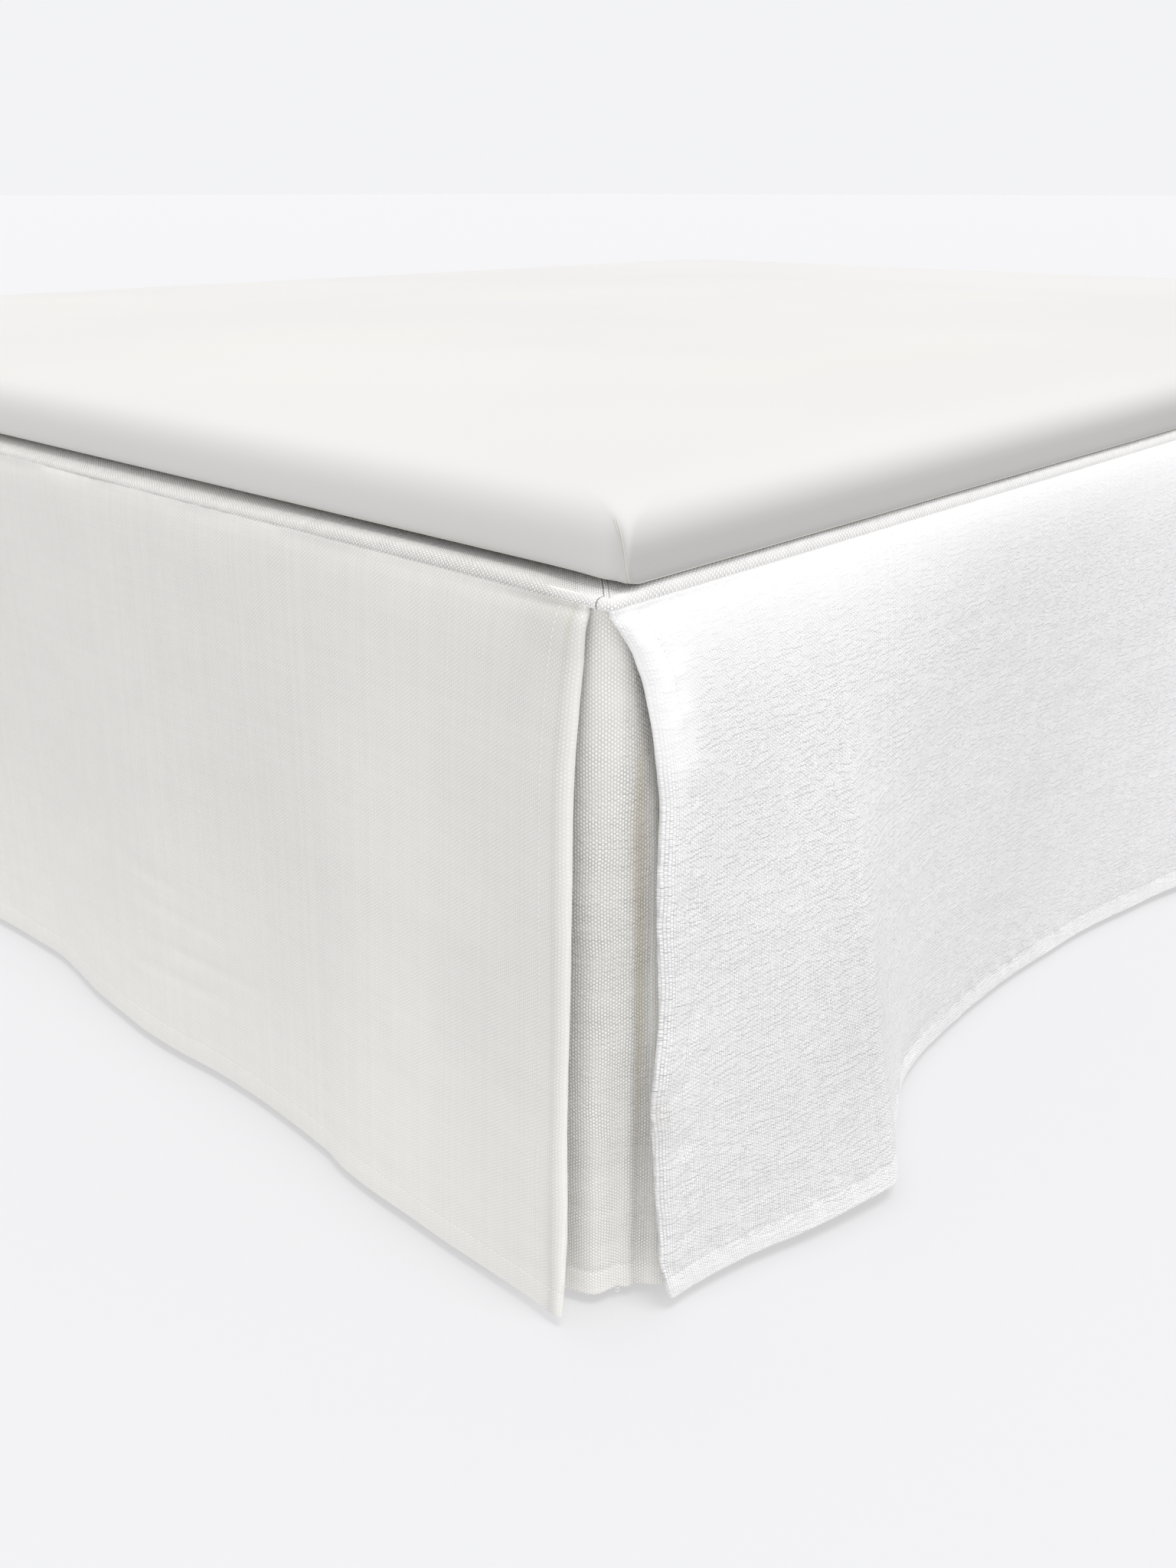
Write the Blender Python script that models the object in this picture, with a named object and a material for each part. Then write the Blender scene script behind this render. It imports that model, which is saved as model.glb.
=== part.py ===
"""A tailored bed skirt with split foot corners, on the plain bed that holds it.

The deck is a platform sheet that lies between the base and the mattress. Three drop
panels hang from its rolled edge: one across the foot and one along each side. Behind
each split foot corner hangs an insert, so the split never shows the bed.

Metres, +Z up, the floor at z = 0. The bed's long axis is Y and the foot end faces -Y.
The origin is on the floor, under the middle of all that is built: the foot drop stands
off the bed and the head end has none, so the bed itself lies a little towards the head.
"""

import math
from collections import namedtuple

import bmesh
import bpy

# Driving sizes, in metres
BED_WIDTH = 1.600
BED_LENGTH = 2.000
HEADWARD_SHIFT = 0.020       # the bed's middle, towards the head from the origin
EDGE_HEIGHT = 0.458          # top of the deck, where the drop is measured from
DROP = 0.450                 # deck's edge to hem, along the cloth
CLOTH = 0.002                # thickness of every sheet
TOUCH_GAP = 0.0003           # left between two pieces that meet

# Deck: its edge rolls over and ends in the seam that carries the panels
SEAM_DEPTH = 0.007
DECK_ROLL_RADIUS = 0.005
DECK_CORNER_RADIUS = 0.005

# Bed base, set in so that the cloth hangs clear of it
BASE_SET_IN = 0.010
BASE_BOTTOM = 0.200
BASE_CORNER_RADIUS = 0.020
BASE_EDGE_RADIUS = 0.008
LEG_SIZE = 0.060
LEG_TAPER = 0.75             # foot of a leg, as a share of its top
LEG_SET_IN = 0.100           # from the deck's edge lines to a corner leg's middle

# Mattress: thin, upright at the side and round above, a little short of the foot edge
MATTRESS_HEIGHT = 0.047
MATTRESS_CORNER_RADIUS = 0.012
MATTRESS_LOW_RADIUS = 0.008
MATTRESS_TOP_RADIUS = 0.022
MATTRESS_FOOT_SET_IN = 0.0115
MATTRESS_SIDE_OVERHANG = 0.0015

# Panels and inserts
FOOT_PANEL_START = 0.012     # along the edge, from the corner to the first stitch
SIDE_PANEL_START = 0.001
INSERT_REACH = 0.130         # how far an insert runs behind each panel
INSERT_SET_IN = 0.0052       # its top, inside the edge line
INSERT_SEAM_RADIUS = 0.008   # its turn round the corner, at the seam
INSERT_HEM_RADIUS = 0.110    # and at the hem, where it nearly cuts the corner off
INSERT_FLARE = 0.0225        # its hem, outside the edge line
INSERT_DROP = 0.446
FREE_EDGE_REACH = 0.100      # how far into a panel its free edge's form carries
FREE_EDGE_POWER = 0.45       # below 1: a free edge springs out just under the seam
COLUMN_SPACING = 0.024
INSERT_COLUMN_SPACING = 0.009
PANEL_ROWS = 8
ROW_CROWDING = 1.6           # above 1: rows crowd towards the seam
SEAM_HOLD = 0.010            # share of a drop that its seam holds upright
HEM_STEP = 0.001             # step in which a hem's cloth is measured out

SHARP_ANGLE = 35.0           # degrees; edges sharper than this aren't shaded smooth

# How far the hem stands off the edge line, along that line from the foot corner
Fold = namedtuple("Fold", "along out")

FOOT_FOLDS = (
    Fold(0.013, 0.0290), Fold(0.050, 0.0306), Fold(0.119, 0.0328), Fold(0.190, 0.0336),
    Fold(0.220, 0.0325), Fold(0.252, 0.0272), Fold(0.330, 0.0251), Fold(0.400, 0.0294),
    Fold(0.470, 0.0360), Fold(0.560, 0.0330), Fold(0.660, 0.0225), Fold(0.780, 0.0300),
    Fold(0.890, 0.0400), Fold(0.990, 0.0290), Fold(1.100, 0.0210), Fold(1.240, 0.0300),
    Fold(1.350, 0.0380), Fold(1.450, 0.0330), Fold(1.560, 0.0290), Fold(1.620, 0.0290),
)
RIGHT_SIDE_FOLDS = (
    Fold(0.033, 0.0284), Fold(0.052, 0.0306), Fold(0.096, 0.0408), Fold(0.139, 0.0559),
    Fold(0.190, 0.0701), Fold(0.212, 0.0742), Fold(0.229, 0.0660), Fold(0.253, 0.0481),
    Fold(0.288, 0.0304), Fold(0.337, 0.0080), Fold(0.392, -0.0013), Fold(0.490, -0.0053),
    Fold(0.620, 0.0020), Fold(0.750, 0.0240), Fold(0.860, 0.0460), Fold(0.930, 0.0320),
    Fold(1.040, 0.0060), Fold(1.180, -0.0040), Fold(1.340, 0.0060), Fold(1.490, 0.0320),
    Fold(1.590, 0.0420), Fold(1.680, 0.0230), Fold(1.800, 0.0030), Fold(1.920, 0.0080),
    Fold(2.040, 0.0160),
)
LEFT_SIDE_FOLDS = (
    Fold(0.024, 0.0270), Fold(0.080, 0.0340), Fold(0.150, 0.0520), Fold(0.195, 0.0570),
    Fold(0.240, 0.0420), Fold(0.310, 0.0160), Fold(0.410, 0.0000), Fold(0.540, 0.0020),
    Fold(0.680, 0.0200), Fold(0.820, 0.0500), Fold(0.890, 0.0380), Fold(1.000, 0.0080),
    Fold(1.130, -0.0040), Fold(1.290, 0.0060), Fold(1.430, 0.0260), Fold(1.540, 0.0400),
    Fold(1.640, 0.0220), Fold(1.770, 0.0040), Fold(1.900, 0.0100), Fold(2.040, 0.0200),
)
# Folds in an insert's hem, from behind the foot panel (below 0) round to the side
INSERT_FOLDS = (
    Fold(-0.135, 0.0000), Fold(-0.090, 0.0030), Fold(-0.050, 0.0020),
    Fold(-0.025, 0.0040), Fold(-0.008, 0.0076), Fold(0.009, 0.0014),
    Fold(0.018, 0.0004), Fold(0.036, 0.0055), Fold(0.060, 0.0030),
    Fold(0.095, -0.0030), Fold(0.135, 0.0000),
)

# How far a panel's free edge is pushed along the panel, by its depth below the seam
Swing = namedtuple("Swing", "depth push")

SIDE_SWING = (
    Swing(0.000, 0.0000), Swing(0.018, 0.0104), Swing(0.040, 0.0196), Swing(0.070, 0.0227),
    Swing(0.105, 0.0230), Swing(0.180, 0.0126), Swing(0.235, 0.0086), Swing(0.300, -0.0042),
    Swing(0.385, -0.0064), Swing(0.430, -0.0064), Swing(0.450, -0.0010),
)
FOOT_SWING = (
    Swing(0.000, 0.000), Swing(0.090, 0.001), Swing(0.200, -0.002), Swing(0.420, -0.002),
    Swing(0.450, 0.000),
)
STILL = (Swing(0.0, 0.0), Swing(0.5, 0.0))

# One side of the deck: its foot corner, the way along it and the way off it, in plan
Side = namedtuple("Side", "corner along outward")

HALF_WIDTH = BED_WIDTH / 2
FOOT_Y = HEADWARD_SHIFT - BED_LENGTH / 2
HEAD_Y = HEADWARD_SHIFT + BED_LENGTH / 2
RIGHT_SIDE = Side((HALF_WIDTH, FOOT_Y), (0.0, 1.0), (1.0, 0.0))
LEFT_SIDE = Side((-HALF_WIDTH, FOOT_Y), (0.0, 1.0), (-1.0, 0.0))
FOOT_SIDE = Side((HALF_WIDTH, FOOT_Y), (-1.0, 0.0), (0.0, -1.0))

# Colours are linear; finish is roughness
Finish = namedtuple("Finish", "name colour roughness")

SKIRT_CLOTH = Finish("skirt_cloth", (0.79, 0.78, 0.75), 0.92)
DECK_CLOTH = Finish("deck_cloth", (0.77, 0.76, 0.73), 0.92)
MATTRESS_SHEET = Finish("mattress_sheet", (0.86, 0.86, 0.85), 0.60)
BASE_COVER = Finish("base_cover", (0.62, 0.60, 0.56), 0.90)
LEG_WOOD = Finish("leg_wood", (0.42, 0.27, 0.15), 0.55)


def clear_scene():
    """Take every object out of the open file."""
    for obj in list(bpy.data.objects):
        bpy.data.objects.remove(obj, do_unlink=True)


def material(finish):
    """A Principled material of a finish, with a name of its own."""
    mat = bpy.data.materials.new(finish.name)
    mat.use_nodes = True
    shader = mat.node_tree.nodes["Principled BSDF"]
    shader.inputs["Base Color"].default_value = (*finish.colour, 1.0)
    shader.inputs["Roughness"].default_value = finish.roughness
    shader.inputs["Metallic"].default_value = 0.0
    return mat


def add_object(name, mesh, finish):
    """Put a mesh in the scene as a named object with its own material."""
    obj = bpy.data.objects.new(name, mesh)
    bpy.context.scene.collection.objects.link(obj)
    mesh.materials.append(material(finish))
    return obj


def smooth_curve(rows):
    """A smooth function through rows of (place, value) that never overshoots them.

    It is a cubic between rows, with the harmonic mean of the two slopes at each row
    and a level tangent at each crest and trough.
    """
    places = [row[0] for row in rows]
    values = [row[1] for row in rows]
    steps = [b - a for a, b in zip(places, places[1:])]
    slopes = [(b - a) / step for a, b, step in zip(values, values[1:], steps)]
    tangents = [slopes[0]]
    for before, after in zip(slopes, slopes[1:]):
        if before * after <= 0.0:
            tangents.append(0.0)
        else:
            tangents.append(2.0 * before * after / (before + after))
    tangents.append(slopes[-1])

    def value_at(place):
        place = min(max(place, places[0]), places[-1])
        span = 0
        while span < len(steps) - 1 and place > places[span + 1]:
            span += 1
        step = steps[span]
        t = (place - places[span]) / step
        return (
            values[span] * (1 + 2 * t) * (1 - t) ** 2
            + tangents[span] * step * t * (1 - t) ** 2
            + values[span + 1] * t * t * (3 - 2 * t)
            + tangents[span + 1] * step * t * t * (t - 1)
        )

    return value_at


def hem_points(folds, cloth_lengths):
    """Plan points (along, out) of a hem at the given distances along its cloth."""
    out_at = smooth_curve(folds)
    along = folds[0].along
    out = out_at(along)
    travelled = 0.0
    points = []
    for wanted in cloth_lengths:
        while travelled < wanted:
            next_out = out_at(along + HEM_STEP)
            travelled += math.hypot(HEM_STEP, next_out - out)
            along += HEM_STEP
            out = next_out
        points.append((along, out))
    return points


def row_shares():
    """Rows of a hanging sheet, as pairs: share of the drop, and of its free length.

    The seam holds the first stretch upright; below it the rows crowd towards the seam.
    """
    rows = [(0.0, 0.0)]
    for row in range(PANEL_ROWS + 1):
        free = (row / PANEL_ROWS) ** ROW_CROWDING
        rows.append((SEAM_HOLD + (1.0 - SEAM_HOLD) * free, free))
    return rows


def edge_weight(distance):
    """How much of a free edge's form is left at a distance into the panel."""
    return math.exp(-((distance / FREE_EDGE_REACH) ** 2))


def panel_grid(side, start, length, folds, near_swing, far_swing):
    """Middle surface of a drop panel: a list of columns, each a list of points.

    Each column is a thread of the cloth. Its top is at the seam and its foot is on the
    hem's plan curve, so the drop's length along the cloth is the same everywhere and
    the hem lifts where it stands out. A free edge springs out just under the seam and
    is pushed along the panel by its swing; an edge that does neither is given STILL.
    """
    count = round(length / COLUMN_SPACING)
    cloth = [length * column / count for column in range(count + 1)]
    hem = hem_points(folds, cloth)
    near_push = smooth_curve(near_swing)
    far_push = smooth_curve(far_swing)
    top_height = EDGE_HEIGHT - SEAM_DEPTH - TOUCH_GAP
    drop = DROP - SEAM_DEPTH
    columns = []
    for distance, (hem_along, hem_out) in zip(cloth, hem):
        top_along = start + distance
        fall = math.sqrt(drop**2 - hem_out**2 - (hem_along - top_along) ** 2)
        near = edge_weight(distance) if near_swing is not STILL else 0.0
        far = edge_weight(length - distance) if far_swing is not STILL else 0.0
        power = 1.0 - (1.0 - FREE_EDGE_POWER) * max(near, far)
        column = []
        for share, free in row_shares():
            depth = share * fall
            push = near * near_push(depth) - far * far_push(depth)
            along = top_along + (hem_along - top_along) * free + push
            column.append(place(side, along, hem_out * free**power, top_height - depth))
        columns.append(column)
    return columns


def place(side, along, out, height):
    """A point given along and off one side of the deck."""
    return (
        side.corner[0] + side.along[0] * along + side.outward[0] * out,
        side.corner[1] + side.along[1] * along + side.outward[1] * out,
        height,
    )


def insert_plan(mirror, along, share, fold):
    """A plan point of a corner insert, along a path that turns the foot corner.

    Below zero, along runs behind the foot panel, and above zero along the side. The
    turn is an arc that opens as the share of the drop grows from seam to hem.
    """
    radius = INSERT_SEAM_RADIUS + (INSERT_HEM_RADIUS - INSERT_SEAM_RADIUS) * share
    out = (INSERT_FLARE + INSERT_SET_IN) * share - INSERT_SET_IN
    half_turn = radius * math.pi / 4
    turned = min(max(along, -half_turn), half_turn) + half_turn
    turn = turned / radius - math.pi / 2
    reach = radius + fold * share
    x = HALF_WIDTH + out - radius + reach * math.cos(turn) + min(along + half_turn, 0.0)
    y = FOOT_Y - out + radius + reach * math.sin(turn) + max(along - half_turn, 0.0)
    return mirror * x, y


def insert_grid(mirror):
    """Middle surface of a corner insert: a list of columns from foot to side."""
    count = round(2 * INSERT_REACH / INSERT_COLUMN_SPACING)
    fold_at = smooth_curve(INSERT_FOLDS)
    top_height = EDGE_HEIGHT - CLOTH - TOUCH_GAP
    columns = []
    for column_number in range(count + 1):
        along = INSERT_REACH * (2 * column_number / count - 1)
        fold = fold_at(along)
        column = []
        for share, free in row_shares():
            x, y = insert_plan(mirror, along, free, fold)
            column.append((x, y, top_height - INSERT_DROP * share))
        columns.append(column)
    return columns


def add_sheet(name, columns, finish):
    """A hanging sheet of the cloth's thickness on a grid of middle-surface points."""
    mesh = bpy.data.meshes.new(name)
    rows = len(columns[0])
    points = [point for column in columns for point in column]
    faces = []
    for column in range(len(columns) - 1):
        for row in range(rows - 1):
            first = column * rows + row
            faces.append((first, first + 1, first + rows + 1, first + rows))
    mesh.from_pydata(points, [], faces)
    mesh.shade_smooth()
    sheet = add_object(name, mesh, finish)
    solidify = sheet.modifiers.new("cloth_thickness", "SOLIDIFY")
    solidify.thickness = CLOTH
    solidify.offset = 0.0
    return sheet


def rounded_rectangle(half_x, low_y, high_y, radius, height, corner_steps):
    """Points of a rounded rectangle in plan, anticlockwise, as one ring."""
    ring = []
    corners = (
        (half_x - radius, low_y + radius, -90.0),
        (half_x - radius, high_y - radius, 0.0),
        (-half_x + radius, high_y - radius, 90.0),
        (-half_x + radius, low_y + radius, 180.0),
    )
    for centre_x, centre_y, start in corners:
        for step in range(corner_steps + 1):
            angle = math.radians(start + 90.0 * step / corner_steps)
            ring.append((
                centre_x + radius * math.cos(angle),
                centre_y + radius * math.sin(angle),
                height,
            ))
    return ring


def add_lofted(name, rings, finish):
    """A closed solid through rings of equal length, bottom to top, capped flat."""
    shape = bmesh.new()
    loops = [[shape.verts.new(point) for point in ring] for ring in rings]
    for lower, upper in zip(loops, loops[1:]):
        for this, following in zip(range(len(lower)), [*range(1, len(lower)), 0]):
            shape.faces.new((lower[this], lower[following], upper[following], upper[this]))
    shape.faces.new(list(reversed(loops[0])))
    shape.faces.new(loops[-1])
    mesh = bpy.data.meshes.new(name)
    shape.to_mesh(mesh)
    shape.free()
    mesh.shade_smooth()
    mesh.set_sharp_from_angle(angle=math.radians(SHARP_ANGLE))
    return add_object(name, mesh, finish)


def quarter_round(radius, steps):
    """A rounded edge from its side to its top, as pairs: inset, and rise from its start."""
    pairs = []
    for step in range(steps + 1):
        angle = math.radians(90.0 * step / steps)
        pairs.append((radius * (1 - math.cos(angle)), radius * math.sin(angle)))
    return pairs


def add_deck():
    """The platform sheet, hollow underneath, with its edge rolled down to the seam."""
    roll_steps = 4
    corner_steps = 3
    outer = quarter_round(DECK_ROLL_RADIUS, roll_steps)
    inner = quarter_round(DECK_ROLL_RADIUS - CLOTH, roll_steps)
    roll_start = EDGE_HEIGHT - DECK_ROLL_RADIUS
    seam_height = EDGE_HEIGHT - SEAM_DEPTH
    section = [(CLOTH + inset, roll_start + rise) for inset, rise in reversed(inner)]
    section += [(CLOTH, seam_height), (0.0, seam_height)]
    section += [(inset, roll_start + rise) for inset, rise in outer]
    return add_lofted("deck", [
        rounded_rectangle(
            HALF_WIDTH + CLOTH / 2 - inset, FOOT_Y - CLOTH / 2 + inset,
            HEAD_Y + CLOTH / 2 - inset, DECK_CORNER_RADIUS, height, corner_steps,
        )
        for inset, height in section
    ], DECK_CLOTH)


def add_slab(name, half_x, low_y, high_y, corner, bottom, height, edges, finish):
    """A box with rounded edges; edges holds the low and the high edge's radius.

    Its corners get rounder in plan as its section draws in.
    """
    low_radius, high_radius = edges
    edge_steps = 4
    corner_steps = 4
    section = [
        (inset, low_radius - rise)
        for inset, rise in reversed(quarter_round(low_radius, edge_steps))
    ]
    section += [
        (inset, height - high_radius + rise)
        for inset, rise in quarter_round(high_radius, edge_steps)
    ]
    return add_lofted(name, [
        rounded_rectangle(
            half_x - inset, low_y + inset, high_y - inset,
            corner + inset, bottom + rise, corner_steps,
        )
        for inset, rise in section
    ], finish)


def add_base():
    """The plain bed base, a box with softened edges, set in behind the cloth."""
    top = EDGE_HEIGHT - CLOTH - TOUCH_GAP
    return add_slab(
        "bed_base", HALF_WIDTH - BASE_SET_IN, FOOT_Y + BASE_SET_IN, HEAD_Y - BASE_SET_IN,
        BASE_CORNER_RADIUS, BASE_BOTTOM, top - BASE_BOTTOM,
        (BASE_EDGE_RADIUS, BASE_EDGE_RADIUS), BASE_COVER,
    )


def add_mattress():
    """The thin mattress that lies on the deck."""
    return add_slab(
        "mattress", HALF_WIDTH + MATTRESS_SIDE_OVERHANG, FOOT_Y + MATTRESS_FOOT_SET_IN,
        HEAD_Y, MATTRESS_CORNER_RADIUS, EDGE_HEIGHT + TOUCH_GAP, MATTRESS_HEIGHT,
        (MATTRESS_LOW_RADIUS, MATTRESS_TOP_RADIUS), MATTRESS_SHEET,
    )


def add_legs():
    """Six plain square legs in three rows, tapered to a flat foot."""
    top = BASE_BOTTOM - TOUCH_GAP
    leg_x = HALF_WIDTH - LEG_SET_IN
    number = 0
    for y in (FOOT_Y + LEG_SET_IN, HEADWARD_SHIFT, HEAD_Y - LEG_SET_IN):
        for x in (-leg_x, leg_x):
            number += 1
            rings = []
            for height, size in ((0.0, LEG_SIZE * LEG_TAPER), (top, LEG_SIZE)):
                half = size / 2
                rings.append([
                    (x - half, y - half, height), (x + half, y - half, height),
                    (x + half, y + half, height), (x - half, y + half, height),
                ])
            add_lofted(f"bed_leg_{number}", rings, LEG_WOOD)


def add_panels():
    """The three drops: across the foot with two free edges, and one along each side."""
    foot_length = BED_WIDTH - 2 * FOOT_PANEL_START
    side_length = BED_LENGTH - SIDE_PANEL_START
    add_sheet("foot_panel", panel_grid(
        FOOT_SIDE, FOOT_PANEL_START, foot_length, FOOT_FOLDS, FOOT_SWING, FOOT_SWING,
    ), SKIRT_CLOTH)
    add_sheet("side_panel_right", panel_grid(
        RIGHT_SIDE, SIDE_PANEL_START, side_length, RIGHT_SIDE_FOLDS, SIDE_SWING, STILL,
    ), SKIRT_CLOTH)
    add_sheet("side_panel_left", panel_grid(
        LEFT_SIDE, SIDE_PANEL_START, side_length, LEFT_SIDE_FOLDS, SIDE_SWING, STILL,
    ), SKIRT_CLOTH)


def add_inserts():
    """The gusset behind each split foot corner."""
    add_sheet("corner_insert_right", insert_grid(1.0), SKIRT_CLOTH)
    add_sheet("corner_insert_left", insert_grid(-1.0), SKIRT_CLOTH)


def main():
    """Build the bed, then the skirt that hangs from it."""
    clear_scene()
    add_base()
    add_legs()
    add_mattress()
    add_deck()
    add_panels()
    add_inserts()


main()
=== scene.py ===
"""Looks of a tailored bed skirt with split foot corners, on the plain bed that holds it.

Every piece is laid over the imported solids, in their frame: metres, +Z up, the floor at
z = 0, the foot end facing -Y. The cloth pieces carry a map named "cloth" that holds
their own width and drop in metres, so that the weave follows each piece as it was cut.
"""

import logging
import math
from dataclasses import dataclass
from enum import Enum

import bmesh
import bpy
import numpy as np
from mathutils import Matrix, Vector


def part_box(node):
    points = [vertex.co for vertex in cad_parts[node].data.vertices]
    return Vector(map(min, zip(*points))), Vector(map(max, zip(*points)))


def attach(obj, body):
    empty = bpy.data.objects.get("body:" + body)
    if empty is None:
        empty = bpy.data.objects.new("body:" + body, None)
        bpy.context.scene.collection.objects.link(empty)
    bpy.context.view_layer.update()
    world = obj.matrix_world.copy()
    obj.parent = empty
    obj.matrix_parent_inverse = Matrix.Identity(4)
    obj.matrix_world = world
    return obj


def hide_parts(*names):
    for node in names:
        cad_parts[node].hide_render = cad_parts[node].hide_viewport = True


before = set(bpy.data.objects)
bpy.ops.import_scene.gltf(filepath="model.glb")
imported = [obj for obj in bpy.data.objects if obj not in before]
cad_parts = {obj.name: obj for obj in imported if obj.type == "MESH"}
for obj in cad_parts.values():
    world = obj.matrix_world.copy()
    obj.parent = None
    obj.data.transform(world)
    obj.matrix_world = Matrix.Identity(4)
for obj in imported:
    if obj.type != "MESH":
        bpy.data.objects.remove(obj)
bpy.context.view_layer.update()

LOG = logging.getLogger("bed_skirt")
CLOTH_MAP = "cloth"
# name of the attribute that holds painted light, and painted shade where below 0
PAINTED_SHADING_NAME = "painted_shading_layer"
BODY = "root"

# The bed that carries the skirt, in metres
HALF_WIDTH = 0.800
FOOT_Y = -0.980
HEAD_Y = 1.020
BED_LENGTH = HEAD_Y - FOOT_Y
EDGE_HEIGHT = 0.458
SEAM_HEIGHT = 0.451
DROP = 0.443                 # seam to hem, along the cloth
HEM = 0.020                  # width of a turned hem
CORNER_RADIUS = 0.005        # of the deck's corners, in plan
LEGS = 6

Rows = tuple[tuple[float, float], ...]
Faces = list[tuple[int, ...]]
Runs = list[tuple[np.ndarray, np.ndarray]]   # points and outward unit vectors, a pair a row
Value = float | tuple | bpy.types.NodeSocket   # what a node's socket may be given


class Slot(Enum):
    """The record's material slots."""

    SKIRT = "skirt_cloth"
    DECK = "deck_cloth"
    SHEET = "mattress_sheet"
    BASE = "base_cover"
    LEG = "leg_wood"


class Hold(Enum):
    """How a sheet of cloth is held."""

    HUNG = "hung"
    STRETCHED = "stretched"


# ---------------------------------------------------------------- curves and noise


@dataclass(frozen=True)
class SmoothCurve:
    """A smooth curve through rows of (place, value) that never overshoots them."""

    rows: Rows

    def at(self, places: np.ndarray) -> np.ndarray:
        """Read the curve.

        Args:
            places: where to read it; beyond the ends it keeps the end's value.

        Returns:
            The values there.
        """
        at, value = np.array(self.rows).T
        steps = np.diff(at)
        slopes = np.diff(value) / steps
        before, after = slopes[:-1], slopes[1:]
        turning = before * after <= 0.0
        total = np.where(turning, 1.0, before + after)
        inner = np.where(turning, 0.0, 2.0 * before * after / total)
        tangents = np.concatenate([slopes[:1], inner, slopes[-1:]])
        places = np.clip(places, at[0], at[-1])
        span = np.clip(np.searchsorted(at, places, side="right") - 1, 0, len(steps) - 1)
        t = (places - at[span]) / steps[span]
        return (
            value[span] * (1 + 2 * t) * (1 - t) ** 2
            + tangents[span] * steps[span] * t * (1 - t) ** 2
            + value[span + 1] * t * t * (3 - 2 * t)
            + tangents[span + 1] * steps[span] * t * t * (t - 1)
        )


LATTICE = 128                # random heights each way before they repeat


def ripple(across: np.ndarray, along: np.ndarray, size: float, seed: int) -> np.ndarray:
    """Smooth random relief on a square lattice, the same on every run.

    Args:
        across: first coordinate, in metres.
        along: second coordinate, in metres.
        size: distance between lattice points, in metres.
        seed: which lattice of random heights to use.

    Returns:
        Heights between -1 and 1, in the shape of the coordinates.
    """
    heights = np.random.default_rng(seed).uniform(-1.0, 1.0, (LATTICE, LATTICE))
    a, b = np.broadcast_arrays(across / size, along / size)
    cell_a, cell_b = np.floor(a).astype(int), np.floor(b).astype(int)
    s, t = a - cell_a, b - cell_b
    s, t = s * s * (3 - 2 * s), t * t * (3 - 2 * t)
    a0, a1 = cell_a % LATTICE, (cell_a + 1) % LATTICE
    b0, b1 = cell_b % LATTICE, (cell_b + 1) % LATTICE
    near = heights[a0, b0] * (1 - s) + heights[a1, b0] * s
    far = heights[a0, b1] * (1 - s) + heights[a1, b1] * s
    return near * (1 - t) + far * t


def bell(distance: np.ndarray, width: float) -> np.ndarray:
    """A bell curve, 1 at no distance and 0.37 at its width."""
    return np.exp(-((distance / width) ** 2))


def spaced(grading: Rows) -> np.ndarray:
    """Places along a line, spaced as a grading says.

    Args:
        grading: rows of (until, step), in metres; the last until is the line's end.

    Returns:
        The places, from 0 to the end.
    """
    places = [np.zeros(1)]
    start = 0.0
    for until, step in grading:
        count = max(1, round((until - start) / step))
        places.append(start + (until - start) * np.arange(1, count + 1) / count)
        start = until
    return np.concatenate(places)


def unit(vectors: np.ndarray) -> np.ndarray:
    """Vectors scaled to length 1."""
    return vectors / np.maximum(np.linalg.norm(vectors, axis=-1, keepdims=True), 1e-12)


def travelled(points: np.ndarray) -> np.ndarray:
    """How far along its line each point lies.

    Args:
        points: a line of points, or several lines stacked in front of its two axes.

    Returns:
        The distances walked from each line's first point.
    """
    steps = np.linalg.norm(np.diff(points, axis=-2), axis=-1)
    start = np.zeros(steps.shape[:-1] + (1,))
    return np.concatenate([start, np.cumsum(steps, axis=-1)], axis=-1)


def faded(values: np.ndarray) -> np.ndarray:
    """Values kept between 0 and 1."""
    return np.clip(values, 0.0, 1.0)


# ---------------------------------------------------------------- meshes


def new_object(
    name: str, points: np.ndarray, faces: Faces, cloth: np.ndarray | None = None,
    painted_shading: np.ndarray | None = None,
) -> bpy.types.Object:
    """Make an object from points and faces, its faces turned outwards.

    Args:
        name: the piece's name.
        points: its points, one row each.
        faces: tuples of point numbers.
        cloth: two cloth coordinates for each point, or None for no cloth map.
        painted_shading: painted light at each point, as a share, painted shade where below 0, or
            None.

    Returns:
        The new object.
    """
    mesh = bpy.data.meshes.new(name)
    mesh.from_pydata(points.tolist(), [], faces)
    shape = bmesh.new()
    shape.from_mesh(mesh)
    bmesh.ops.recalc_face_normals(shape, faces=shape.faces)
    shape.to_mesh(mesh)
    shape.free()
    if cloth is not None:
        corners = np.zeros(len(mesh.loops), np.int32)
        mesh.loops.foreach_get("vertex_index", corners)
        layer = mesh.uv_layers.new(name=CLOTH_MAP)
        layer.uv.foreach_set("vector", cloth[corners].astype(np.float32).ravel())
    if painted_shading is not None:
        painted_shading_layer = mesh.attributes.new(PAINTED_SHADING_NAME, "FLOAT", "POINT")
        painted_shading_layer.data.foreach_set("value", painted_shading.astype(np.float32))
    mesh.shade_smooth()
    obj = bpy.data.objects.new(name, mesh)
    bpy.context.scene.collection.objects.link(obj)
    return obj


def strip_faces(numbers: np.ndarray) -> Faces:
    """Faces between rows of point numbers, each row closed on itself.

    Args:
        numbers: point numbers, one row for each loop.

    Returns:
        Four-sided faces, or three-sided ones where two of the points are one.
    """
    following = np.roll(numbers, -1, axis=1)
    quads = np.stack([numbers[:-1], following[:-1], following[1:], numbers[1:]], axis=-1)
    faces = []
    for quad in quads.reshape(-1, 4).tolist():
        corners = list(dict.fromkeys(quad))
        if len(corners) > 2:
            faces.append(tuple(corners))
    return faces


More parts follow.
